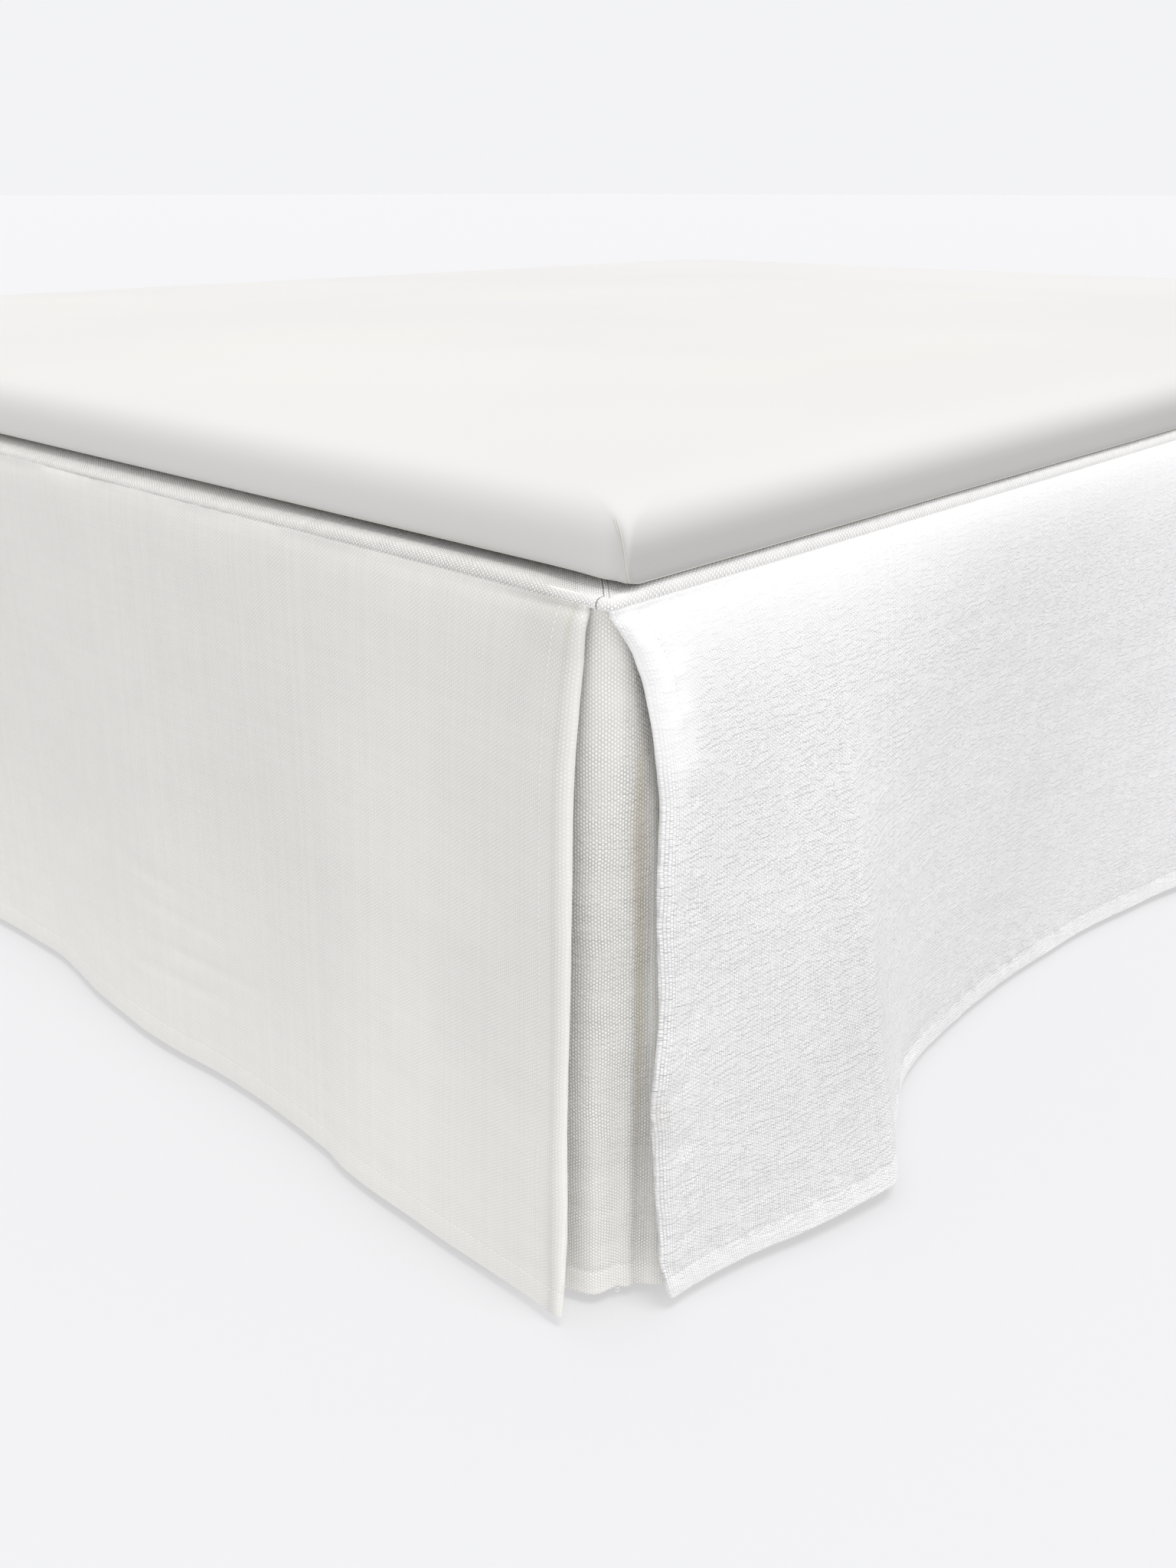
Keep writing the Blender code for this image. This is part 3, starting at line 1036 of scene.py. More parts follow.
@dataclass(frozen=True)
class Edge:
    """One edge of the deck: its foot corner, the way along it and the way off it."""

    corner: tuple[float, float]
    along: tuple[float, float]
    outward: tuple[float, float]
    length: float

    CORNER_FADE = 0.030          # how far below the seam the corner's roundness has gone

    def place(self, along: np.ndarray, out: np.ndarray, fall: np.ndarray) -> np.ndarray:
        """Points given along the edge, off it and below the seam.

        Near the seam the edge itself turns the deck's round corners.

        Args:
            along: distances along the edge, as if its corners were unrolled.
            out: distances off it.
            fall: depths below the seam.

        Returns:
            The points.
        """
        radius = CORNER_RADIUS
        hold = np.exp(-fall / self.CORNER_FADE)
        near = np.clip((radius - along) / radius, 0.0, math.pi / 2)
        far = np.clip((along - self.length + radius) / radius, 0.0, math.pi / 2)
        inward = radius * (2.0 - np.cos(near) - np.cos(far)) * hold
        shift = radius * ((near - np.sin(near)) - (far - np.sin(far))) * hold
        along = along + shift
        out = out - inward
        return np.stack([
            self.corner[0] + self.along[0] * along + self.outward[0] * out,
            self.corner[1] + self.along[1] * along + self.outward[1] * out,
            SEAM_HEIGHT - fall,
        ], axis=-1)

    def facing(self) -> float:
        """Work out which way a grid along this edge faces.

        Returns:
            1 or -1.
        """
        down_by_along = (self.along[1], -self.along[0])
        return math.copysign(
            1.0, down_by_along[0] * self.outward[0] + down_by_along[1] * self.outward[1],
        )


RIGHT_EDGE = Edge((HALF_WIDTH, FOOT_Y), (0.0, 1.0), (1.0, 0.0), BED_LENGTH)
LEFT_EDGE = Edge((-HALF_WIDTH, FOOT_Y), (0.0, 1.0), (-1.0, 0.0), BED_LENGTH)
FOOT_EDGE = Edge((HALF_WIDTH, FOOT_Y), (-1.0, 0.0), (0.0, -1.0), 2 * HALF_WIDTH)

# How far the hem stands off the deck's edge, along that edge from the foot corner
FOOT_FOLDS = (
    (0.015, 0.0290), (0.050, 0.0306), (0.119, 0.0328), (0.190, 0.0336), (0.220, 0.0325),
    (0.252, 0.0272), (0.330, 0.0251), (0.400, 0.0294), (0.470, 0.0360), (0.560, 0.0330),
    (0.660, 0.0225), (0.780, 0.0300), (0.890, 0.0400), (0.990, 0.0290), (1.100, 0.0210),
    (1.240, 0.0300), (1.350, 0.0380), (1.450, 0.0330), (1.560, 0.0290), (1.620, 0.0290),
)
RIGHT_FOLDS = (
    (0.033, 0.0284), (0.052, 0.0306), (0.096, 0.0408), (0.139, 0.0559), (0.190, 0.0701),
    (0.212, 0.0742), (0.229, 0.0660), (0.253, 0.0481), (0.288, 0.0304), (0.337, 0.0080),
    (0.392, -0.0013), (0.490, -0.0053), (0.620, 0.0020), (0.750, 0.0240), (0.860, 0.0460),
    (0.930, 0.0320), (1.040, 0.0060), (1.180, -0.0040), (1.340, 0.0060), (1.490, 0.0320),
    (1.590, 0.0420), (1.680, 0.0230), (1.800, 0.0030), (1.920, 0.0080), (2.040, 0.0160),
)
LEFT_FOLDS = (
    (0.024, 0.0270), (0.080, 0.0340), (0.150, 0.0520), (0.195, 0.0570), (0.240, 0.0420),
    (0.310, 0.0160), (0.410, 0.0000), (0.540, 0.0020), (0.680, 0.0200), (0.820, 0.0500),
    (0.890, 0.0380), (1.000, 0.0080), (1.130, -0.0040), (1.290, 0.0060), (1.430, 0.0260),
    (1.540, 0.0400), (1.640, 0.0220), (1.770, 0.0040), (1.900, 0.0100), (2.040, 0.0200),
)
INSERT_FOLDS = (
    (-0.135, 0.0000), (-0.090, 0.0030), (-0.050, 0.0020), (-0.025, 0.0040), (-0.0075, 0.0078),
    (0.0083, 0.0012), (0.0135, 0.0024), (0.0175, 0.0000), (0.024, 0.0020), (0.036, 0.0055),
    (0.060, 0.0030), (0.095, -0.0030), (0.135, 0.0000),
)

# How far a free edge is pushed along its panel, by its depth below the seam
SIDE_SWING = (
    (0.000, 0.0028), (0.005, 0.0040), (0.010, 0.0062), (0.018, 0.0110), (0.024, 0.0147),
    (0.030, 0.0168), (0.040, 0.0199), (0.056, 0.0215), (0.070, 0.0229), (0.105, 0.0232),
    (0.136, 0.0187), (0.180, 0.0127), (0.235, 0.0086), (0.300, -0.0042), (0.350, -0.0058),
    (0.385, -0.0064), (0.410, -0.0084), (0.430, -0.0064), (0.450, -0.0010),
)
FOOT_SWING = (
    (0.000, 0.0015), (0.030, 0.0026), (0.090, 0.0042), (0.150, 0.0024), (0.230, 0.0004),
    (0.300, 0.0000), (0.370, -0.0010), (0.430, -0.0022), (0.450, -0.0018),
)
STILL = ((0.0, 0.0), (0.5, 0.0))

# How the rows down a drop and the columns along a panel are spaced: (until, step)
DROP_GRADING = (
    (0.003, 0.001), (0.012, 0.0022), (0.421, 0.0042), (0.428, 0.001), (0.440, 0.0025),
    (DROP, 0.0012),
)
FINE, COARSE = 0.0034, 0.0100
NEAR_HEM = ((0.016, 0.0014), (0.024, 0.002))
FAR_SIDE = ((1.9765, COARSE), (1.9855, 0.002), (2.0015, 0.0014))
FOOT_GRADING = NEAR_HEM + ((0.80, FINE), (1.549, COARSE), (1.557, 0.002), (1.573, 0.0014))
RIGHT_GRADING = NEAR_HEM + ((0.62, FINE),) + FAR_SIDE
LEFT_GRADING = NEAR_HEM + FAR_SIDE


@dataclass(frozen=True)
class PaintedPatch:
    """A soft patch of painted light on a cloth; painted shade where its share is below 0."""

    along: float
    depth: float
    wide: float
    tall: float
    share: float

    def at(self, along: np.ndarray, depth: np.ndarray) -> np.ndarray:
        """How much painted light the patch puts on the cloth at each place of a grid, painted shade
        where below 0.
        """
        across = bell(along - self.along, self.wide)[:, None]
        return self.share * across * bell(depth - self.depth, self.tall)[None, :]


# patches of painted light and painted shade on the drops
SIDE_PAINTED_PATCHES = (
    PaintedPatch(0.006, 0.035, 0.022, 0.060, 0.140), PaintedPatch(0.002, 0.008, 0.008, 0.014, -0.180),
    PaintedPatch(0.002, 0.300, 0.010, 0.030, -0.100), PaintedPatch(0.170, 0.330, 0.075, 0.090, -0.080),
    PaintedPatch(0.450, 0.220, 0.180, 0.300, -0.030),
)
FOOT_PAINTED_PATCHES = (
    PaintedPatch(0.006, 0.220, 0.0035, 0.400, -0.080), PaintedPatch(0.022, 0.006, 0.030, 0.030, -0.110),
    PaintedPatch(0.006, 0.420, 0.0060, 0.080, -0.080),
    PaintedPatch(0.150, 0.220, 0.075, 0.260, 0.050),
)
# painted shadow of the side panel's edge across the insert, and painted light that lifts the shade
# beside it
INSERT_PAINTED_PATCHES = (
    PaintedPatch(0.149, 0.200, 0.0052, 0.300, -0.240), PaintedPatch(0.141, 0.050, 0.0040, 0.060, -0.100),
    PaintedPatch(0.145, 0.135, 0.0050, 0.050, -0.130), PaintedPatch(0.158, 0.190, 0.0045, 0.140, 0.380),
)


@dataclass(frozen=True)
class Crease:
    """A shallow crease pressed in a panel, from one place on its cloth to another."""

    start: tuple[float, float]
    end: tuple[float, float]
    width: float
    height: float

    ENDS = 4.0                   # it fades over one part in so many at both its ends

    def at(self, along: np.ndarray, depth: np.ndarray) -> np.ndarray:
        """Work out how far the crease lifts the cloth.

        Args:
            along: distances along the cloth.
            depth: depths down its drop.

        Returns:
            Heights on the grid of the two.
        """
        a, d = along[:, None] - self.start[0], depth[None, :] - self.start[1]
        run = np.array(self.end) - np.array(self.start)
        length = np.hypot(*run)
        share = (a * run[0] + d * run[1]) / length**2
        off = (a * run[1] - d * run[0]) / length
        fade = faded(np.minimum(share, 1.0 - share) * self.ENDS)
        return self.height * fade * bell(off, self.width)


FOOT_CREASES = (
    Crease((0.300, 0.346), (0.470, 0.353), 0.0035, -0.0007),
    Crease((0.340, 0.321), (0.480, 0.316), 0.0045, -0.0006),
    Crease((0.350, 0.374), (0.500, 0.379), 0.0050, -0.0007),
    Crease((0.390, 0.296), (0.500, 0.292), 0.0040, -0.0005),
)
SEAM_CREASES = (Crease((0.000, 0.005), (0.036, 0.014), 0.0014, 0.0004),)


@dataclass(frozen=True)
class HungCloth:
    """What every hung piece of the skirt shares: its thickness, hems, relief, and painted light and
    shade.
    """

    name: str
    seed: int
    node: str                    # the solid that it stands for
    crinkle: float = 0.00016     # small washed creases
    pressed: float = 0.0         # share of them that is pressed out under the seam
    billow: float = 0.00040      # broad unevenness
    pucker: float = 0.00022      # gathering along the stitch lines
    groove: float = 0.00045      # how deep the stitches draw the cloth in
    face: float = 0.0007         # from the middle of the cloth to its front
    back: float = 0.0005         # and to its back
    fold_back: float = 0.0011    # what a turned hem adds behind
    stitch_in: float = 0.0175    # from a hem's edge to its stitch line
    edge_highlight: float = 0.0       # painted highlight along its side edges
    hem_band_light: float = 0.0       # painted light on the band of its hem
    shoulder_light: float = 0.0   # painted light just under the seam
    lower_half_light: float = 0.0       # painted light that grows down its lower half
    most_painted_light: float = 0.22         # the most painted light on any of it
    painted_patches: tuple[PaintedPatch, ...] = ()
    creases: tuple[Crease, ...] = ()

    HEMMED_SIDES = True          # whether its side edges are hemmed too
    PRESSED_DOWN = 0.070         # how far below the seam the creases come back
    FULLNESS = 0.00018           # how far the cloth swells between a hem's edge and its stitches
    SEAM_PUCKER = 0.00030        # gathering just under the seam
    SEAM_REACH = 0.012           # how far down that goes
    SEAM_FLAT = 0.004            # depth over which all relief sets in
    HEM_SLOPE = 0.0015           # width of the step at a turned hem's inner edge
    SHOULDER_REACH = 0.050       # how far down the shoulder's painted light goes
    BAND_SLOPE = 0.008           # over what width the hem band's painted light sets in
    EDGE_WIDTH = 0.0040          # of the painted highlight of the side edges
    STITCH_MARGIN = 0.004        # from a row's end to its first stitch

    def sheet(self) -> Sheet:
        """Hang the cloth; each kind of piece does so in its own way."""
        raise NotImplementedError

    def flat_size(self) -> tuple[float, float]:
        """Its width and drop, laid flat."""
        raise NotImplementedError

    def loose_ends(self, sheet: Sheet) -> list[bpy.types.Object]:
        """Threads left hanging from it; most pieces have none."""
        return []

    def thicken(
        self, middle: np.ndarray, along: np.ndarray, depth: np.ndarray, facing: float,
    ) -> Sheet:
        """Give a hanging surface its thickness, relief, and painted light and shade.

        Args:
            middle: the surface's points, on the grid of the next two.
            along: distances along the cloth.
            depth: depths down its drop.
            facing: 1 or -1, which way the grid faces.

        Returns:
            The sheet.
        """
        front = self.face + self._relief(along, depth)
        for crease in self.creases:
            front = front + crease.at(along, depth)
        back, painted_shading = self._behind(along, depth), self._paint_light_and_shade(along, depth)
        return Sheet(self.name, middle, along, depth, front, back, painted_shading, facing)

    def _relief(self, along: np.ndarray, depth: np.ndarray) -> np.ndarray:
        """Work out how far the front stands off the plain surface.

        Args:
            along: distances along the cloth.
            depth: depths down its drop.

        Returns:
            Heights on the grid of the two.
        """
        a, d = along[:, None], depth[None, :]
        fine = ripple((a + 0.35 * d) * 0.36, d, 0.0095, self.seed)
        fine = fine + 0.6 * ripple(a * 0.45, d - 0.2 * a, 0.0065, self.seed + 1)
        broad = ripple(a, d, 0.075, self.seed + 2) + 0.5 * ripple(a, d, 0.034, self.seed + 3)
        left = 1.0 - self.pressed * np.exp(-d / self.PRESSED_DOWN)
        height = self.crinkle * fine * left + self.billow * broad
        lines = [(depth[-1] - self.stitch_in - d, a)]
        if self.HEMMED_SIDES:
            lines += [(a - self.stitch_in, d), (along[-1] - self.stitch_in - a, d)]
        for number, (off, run) in enumerate(lines):
            gather = ripple(run + 0.4 * off, off * 0.25, 0.0080, self.seed + 10 + number)
            height = height + self.pucker * gather * bell(off - 0.003, 0.011)
            height = height - self.groove * bell(off, 0.0014)
            height = height + self.FULLNESS * bell(off + 0.009, 0.008)
        seam = ripple(a, d * 0.3, 0.009, self.seed + 20)
        height = height + self.SEAM_PUCKER * seam * np.exp(-d / self.SEAM_REACH)
        return height * faded(d / self.SEAM_FLAT)

    def _behind(self, along: np.ndarray, depth: np.ndarray) -> np.ndarray:
        """Work out how far the back lies behind the middle, more where a hem is turned in.

        Args:
            along: distances along the cloth.
            depth: depths down its drop.

        Returns:
            Distances on the grid of the two.
        """
        distance = (depth[-1] - depth)[None, :] + 0 * along[:, None]
        if self.HEMMED_SIDES:
            distance = np.minimum(distance, np.minimum(along, along[-1] - along)[:, None])
        return self.back + self.fold_back * faded((HEM - distance) / self.HEM_SLOPE)

    def _paint_light_and_shade(self, along: np.ndarray, depth: np.ndarray) -> np.ndarray:
        """Work out the painted light and shade on the cloth: by its edges, hem, seam and lower half,
        and in its patches.

        Args:
            along: distances along the cloth.
            depth: depths down its drop.

        Returns:
            Shares on the grid of the two, painted shade where below 0.
        """
        edge = bell(np.minimum(along, along[-1] - along), self.EDGE_WIDTH)[:, None]
        band = faded((HEM - (depth[-1] - depth)) / self.BAND_SLOPE)[None, :]
        shoulder = np.exp(-depth / self.SHOULDER_REACH)[None, :]
        low = faded(2.0 * depth / depth[-1] - 1.0)[None, :]
        painted_shading = (
            self.edge_highlight * edge + self.hem_band_light * band
            + self.shoulder_light * shoulder + self.lower_half_light * low
        )
        for patch in self.painted_patches:
            painted_shading = painted_shading + patch.at(along, depth)
        return np.minimum(painted_shading, self.most_painted_light)

    def _stitch_lines(self, sheet: Sheet) -> Runs:
        """Find where the hem stitches sit.

        Args:
            sheet: the cloth.

        Returns:
            Points and outward unit vectors, row by row.
        """
        length, line = sheet.along[-1], sheet.depth[-1] - self.stitch_in
        margin, pitch = self.STITCH_MARGIN, HEM_STITCHES.pitch
        places = np.arange(margin, length - margin, pitch)
        lines = [sheet.read(places, np.full(len(places), line))]
        if self.HEMMED_SIDES:
            depths = np.arange(margin, line - margin, pitch)
            for place in (self.stitch_in, length - self.stitch_in):
                lines.append(sheet.read(np.full(len(depths), place), depths))
        return lines

    def build(self, cloth: bpy.types.Material, thread: bpy.types.Material) -> None:
        """Make the piece, its stitches and its loose ends.

        Args:
            cloth: the cloth's finish.
            thread: the thread's finish.
        """
        sheet = self.sheet()
        piece = dress(sheet.build(), cloth, Slot.SKIRT, self.node)
        sewn = HEM_STITCHES.build(self.name + "_stitches", self._stitch_lines(sheet))
        threads = [dress(part, thread, Slot.SKIRT) for part in (sewn, *self.loose_ends(sheet))]


@dataclass(frozen=True)
class DropPanel(HungCloth):
    """A drop of the skirt, sewn under one edge of the deck."""

    edge: Edge = RIGHT_EDGE
    start: float = -0.0015       # where its near edge lies along the deck's edge
    length: float = 2.0015
    folds: Rows = ()
    near_swing: Rows = STILL
    far_swing: Rows = STILL
    grading: Rows = ()

    EDGE_REACH = 0.100           # how far a free edge's swing reaches into the panel
    EDGE_POWER = 0.45            # how early the drop leaves the deck by a free edge
    SEAM_HOLD = 0.010            # share of the drop that the seam holds in line
    TUCK = 0.0006                # how far the cloth stands off right at the seam
    TUCK_FADE = 0.0040
    SHOULDER = 0.0045            # how far the cloth swells out just under the seam
    SHOULDER_RISE = 0.011
    SHOULDER_FADE = 0.110
    ROLL = 0.0045                # how far a free edge turns in
    ROLL_WIDTH = 0.0085
    ROLL_TOP = 0.030             # over what depths the turn sets in and dies out
    ROLL_FOOT = 0.060

    def flat_size(self) -> tuple[float, float]:
        """Its width and drop, laid flat."""
        return self.length, DROP

    def _hem(self, cloth: np.ndarray) -> tuple[np.ndarray, np.ndarray]:
        """Follow the hem in plan.

        Args:
            cloth: distances along its cloth.

        Returns:
            How far along the deck's edge, and how far off it, the hem lies there.
        """
        folds = SmoothCurve(self.folds)
        first = self.folds[0][0]
        along = np.arange(first, first + cloth[-1] + 0.002, 0.001)
        walked = travelled(np.column_stack([along, folds.at(along)]))
        places = np.interp(cloth, walked, along)
        return places, folds.at(places)

    def sheet(self) -> Sheet:
        """Hang the cloth.

        Returns:
            Its grid, with front and back.
        """
        cloth, depth = spaced(self.grading), spaced(DROP_GRADING)
        hem_along, hem_out = (values[:, None] for values in self._hem(cloth))
        top = self.start + cloth[:, None]
        fall = np.sqrt(DROP**2 - hem_out**2 - (hem_along - top) ** 2)
        share = depth[None, :] / DROP
        down = share * fall
        near, far = (
            bell(distance, self.EDGE_REACH)[:, None] * (swing is not STILL)
            for swing, distance in ((self.near_swing, cloth), (self.far_swing, cloth[-1] - cloth))
        )
        by_edge = np.maximum(near, far)
        push = near * SmoothCurve(self.near_swing).at(down)
        push = push - far * SmoothCurve(self.far_swing).at(down)
        free = faded((share - self.SEAM_HOLD) / (1.0 - self.SEAM_HOLD))
        along = top + (hem_along - top) * free + push
        tuck = self.TUCK * np.exp(-down / self.TUCK_FADE)
        rise = 1.0 - np.exp(-down / self.SHOULDER_RISE)
        shoulder = self.SHOULDER * rise * np.exp(-down / self.SHOULDER_FADE) * (1.0 - by_edge)
        bend = faded(1.0 - np.minimum(cloth, cloth[-1] - cloth) / self.ROLL_WIDTH)[:, None] ** 2
        roll = self.ROLL * bend * faded(down / self.ROLL_TOP) * faded((DROP - down) / self.ROLL_FOOT)
        out = hem_out * free ** (1.0 - (1.0 - self.EDGE_POWER) * by_edge) + tuck + shoulder - roll
        middle = self.edge.place(along, out, down)
        return self.thicken(middle, cloth, depth, self.edge.facing())


@dataclass(frozen=True)
class CornerInsert(HungCloth):
    """The gusset that hangs behind a split foot corner."""

    mirror: float = 1.0          # 1 for the right corner, -1 for the left one
    reach: float = 0.130         # from the middle of the corner to either side edge
    set_in: float = 0.0052       # how far inside the deck's edge it hangs below the seam
    seam_in: float = 0.0024      # and at the seam
    flare: float = 0.0225        # how far its hem stands off the deck's edge
    seam_turn: float = 0.012     # radius of its corner at the seam
    hem_turn: float = 0.110      # radius of its corner at the hem
    drop: float = 0.4455
    top: float = 0.4552
    column: float = 0.0025

    HEMMED_SIDES = False
    SEAM_FADE = 0.010            # how far below the seam it has drawn back
    THREAD_AT = 0.0065           # where its loose thread hangs, from the corner's middle
    THREAD_RADIUS = 0.00024

    def flat_size(self) -> tuple[float, float]:
        """Its width and drop, laid flat."""
        return 2 * self.reach, self.drop

    def _plan(
        self, along: np.ndarray, share: np.ndarray, off: np.ndarray,
    ) -> tuple[np.ndarray, np.ndarray]:
        """Plan points on the path that turns the corner, foot side below zero.

        Args:
            along: distances along the path from the middle of the corner.
            share: shares of the drop, 0 at the seam.
            off: distances of the straight runs from the deck's edge.

        Returns:
            The points' x and y.
        """
        radius = self.seam_turn + (self.hem_turn - self.seam_turn) * share
        half_turn = radius * math.pi / 4
        turn = (np.clip(along, -half_turn, half_turn) + half_turn) / radius - math.pi / 2
        bent = radius + SmoothCurve(INSERT_FOLDS).at(along) * share
        x = HALF_WIDTH + off - radius + bent * np.cos(turn) + np.minimum(along + half_turn, 0.0)
        y = FOOT_Y - off + radius + bent * np.sin(turn) + np.maximum(along - half_turn, 0.0)
        return self.mirror * x, y

    def sheet(self) -> Sheet:
        """Hang the cloth.

        Returns:
            Its grid, with front and back.
        """
        along = spaced(((2 * self.reach, self.column),))
        depth = spaced(tuple((until + self.drop - DROP, step) for until, step in DROP_GRADING))
        share = faded(depth[None, :] / self.drop)
        off = -self.set_in + (self.flare + self.set_in) * share
        off = off + (self.set_in - self.seam_in) * bell(depth[None, :], self.SEAM_FADE)
        x, y = self._plan(along[:, None] - self.reach, share, off)
        z = self.top - depth[None, :] + 0 * along[:, None]
        return self.thicken(np.stack([x, y, z], axis=-1), along, depth, self.mirror)

    def loose_ends(self, sheet: Sheet) -> list[bpy.types.Object]:
        """Leave a thread's end hanging, curled, at the hem.

        Args:
            sheet: the insert's cloth.

        Returns:
            The thread's object.
        """
        place = np.array([self.reach + self.THREAD_AT])
        start, normal = sheet.read(place, sheet.depth[-1:] - 0.0015)
        across = np.cross(normal, np.array([0.0, 0.0, 1.0]))
        turn = np.linspace(0.0, 1.0, 22)[:, None]
        line = start + normal * (0.0004 + 0.0011 * np.sin(9.0 * turn) ** 2)
        line = line + across * 0.0014 * np.sin(11.0 * turn) * turn ** 0.5
        line[:, 2] -= 0.0046 * turn[:, 0] - 0.0009 * np.sin(14.0 * turn[:, 0])
        return [cord(self.name + "_loose_thread", line, self.THREAD_RADIUS, False)]


@dataclass(frozen=True)
class Deck:
    """The platform sheet under the mattress, its edge rolled over down to the seam."""

    name: str = "deck_sheet"
    stand_off: float = 0.001
    seed: int = 71

    # From the underside round the lip to the top: inset from the outer face, and height
    SECTION = (
        (0.0600, 0.4559), (0.0200, 0.4559), (0.0080, 0.4559), (0.0050, 0.4556),
        (0.0034, 0.4548), (0.0024, 0.4534), (0.0021, 0.4520), (0.0020, 0.4513),
        (0.0016, 0.4507), (0.0010, 0.4505), (0.0004, 0.4507), (0.0000, 0.4514),
        (-0.0003, 0.4525), (-0.0002, 0.4538), (0.0003, 0.4552), (0.0012, 0.4566),
        (0.0025, 0.4577), (0.0042, 0.4584), (0.0062, 0.4586), (0.0085, 0.4584),
        (0.0115, 0.4581), (0.0160, 0.4580), (0.0240, 0.4580), (0.0600, 0.4580),
    )

    OUTER = 11                   # the section's outermost row
    JOIN = 3                     # points from the right foot corner to the edge's end seam
    LIP = (14.0, 5.0)            # the rolled lip's middle row, and its width in rows
    SWELL = (15.0, 3.0)          # and of the part that swells up along the sides
    SIDE_RISE = 0.0018           # how far it swells up there
    UNEVEN = ((0.00022, 0.011), (0.00030, 0.047))    # height and size of its ripples
    END_SEAM = (0.0004, 0.0006)  # depth and width of the groove at the edge's end seam
    FOOT_PAINTED_SHADE = -0.16            # painted shade of the mattress's shadow on the rolled edge at the foot
    SIDE_PAINTED_SHADING = 0.06             # and painted light along the sides
    EDGE_WIDTH = 0.025           # of both of these
    SEAM_OUT = 0.0011            # how far its stitches stand off the bed's edge
    SEAM_AT = 0.4517             # and their height

    # How far the rolled edge sags at the foot, by the distance from the bed's middle
    FOOT_SLACK = (
        (-0.801, 0.0030), (-0.400, 0.0018), (0.000, 0.0028), (0.420, 0.0033), (0.580, 0.0012),
        (0.650, 0.0004), (0.730, 0.0006), (0.772, 0.0030), (0.801, 0.0030),
    )

    def build(self, cloth: bpy.types.Material, thread: bpy.types.Material) -> None:
        """Make the deck and the stitches of its seam.

        Args:
            cloth: the cloth's finish.
            thread: the thread's finish.
        """
        rings, walked = self._rings()
        section = travelled(np.array(self.SECTION))
        cloth_places = np.stack(np.broadcast_arrays(walked, section[:, None]), axis=-1)
        numbers = np.arange(rings.shape[0] * rings.shape[1]).reshape(rings.shape[:2])
        foot, side = self._near_edges(rings)
        # painted shade on the rolled edge at the foot, painted light along the sides
        tone = self.FOOT_PAINTED_SHADE * foot + self.SIDE_PAINTED_SHADING * side * (1.0 - foot)
        deck = new_object(
            self.name, rings.reshape(-1, 3), capped(numbers, 1), cloth_places.reshape(-1, 2),
            tone.ravel(),
        )
        dress(deck, cloth, Slot.DECK, "deck")
        sewn = dress(self._seam_stitches(), thread, Slot.DECK)

    def _near_edges(self, rings: np.ndarray) -> tuple[np.ndarray, np.ndarray]:
        """Work out how near each point lies to the foot edge and to a side edge.

        Args:
            rings: the deck's rings of points.

        Returns:
            Both, from 0 to 1, where 1 is at the edge.
        """
        from_side = HALF_WIDTH - np.abs(rings[..., 0])
        foot = bell(rings[..., 1] - FOOT_Y, self.EDGE_WIDTH) * faded((from_side - 0.012) / 0.030)
        return foot, bell(from_side, self.EDGE_WIDTH)

    def _rings(self) -> tuple[np.ndarray, np.ndarray]:
        """Rings of points from the underside round the lip to the top.

        Returns:
            The points, and how far round the deck each one of a ring lies.
        """
        path = PlanPath(
            HALF_WIDTH + self.stand_off, FOOT_Y - self.stand_off, HEAD_Y + self.stand_off,
            CORNER_RADIUS + self.stand_off,
        )
        insets, heights = np.array(self.SECTION).T
        rows = np.arange(len(insets))[:, None]
        plan, outward = (np.roll(values, self.JOIN, axis=1) for values in path.rings(insets)[:2])
        walked = travelled(plan[self.OUTER])[None, :]
        level = np.repeat(heights[:, None, None], plan.shape[1], axis=1)
        rings = np.concatenate([plan, level], axis=2)
        (fine, fine_size), (broad, broad_size) = self.UNEVEN
        wobble = fine * ripple(walked, 0.004 * rows, fine_size, self.seed)
        wobble = wobble + broad * ripple(walked, 0.0 * rows, broad_size, self.seed + 1)
        wobble = wobble - self.END_SEAM[0] * bell(walked, self.END_SEAM[1])
        wobble = wobble * bell(rows - self.LIP[0], self.LIP[1])
        rings[..., :2] += outward * wobble[..., None]
        rings[..., 2] += 0.7 * wobble
        flat = bell(np.maximum(insets - 0.010, 0.0), 0.007)[:, None]
        slack = SmoothCurve(self.FOOT_SLACK).at(rings[..., 0]) * flat
        slack = slack * bell(rings[..., 1] - FOOT_Y, 0.020)
        low = heights.min()
        rings[..., 2] -= np.clip(rings[..., 2] - low, 0.0, None) * slack / (EDGE_HEIGHT - low)
        swell = bell(rows - self.SWELL[0], self.SWELL[1])
        rings[..., 2] += self.SIDE_RISE * self._near_edges(rings)[1] * swell
        return rings, walked

    def _seam_stitches(self) -> bpy.types.Object:
        """Sew the lip's lower edge, round the foot and both sides.

        Returns:
            The stitches' object.
        """
        path = PlanPath(HALF_WIDTH, FOOT_Y, HEAD_Y, CORNER_RADIUS)
        plan, outward, walked = path.rings(np.array([-self.SEAM_OUT]))
        runs = np.arange(0.004, walked[-1], SEAM_STITCHES.pitch)
        xy, way = (
            np.stack([np.interp(runs, walked, values[0][:, axis]) for axis in (0, 1)], axis=-1)
            for values in (plan, outward)
        )
        keep = xy[:, 1] < HEAD_Y - 0.002
        points = np.column_stack([xy, np.full(len(xy), self.SEAM_AT)])[keep]
        normals = unit(np.column_stack([way, np.zeros(len(way))]))[keep]
        jumps = np.flatnonzero(np.linalg.norm(np.diff(points, axis=0), axis=1) > 0.02) + 1
        lines = list(zip(np.split(points, jumps), np.split(normals, jumps)))
        return SEAM_STITCHES.build("deck_seam_stitches", lines)


# ---------------------------------------------------------------- the bed


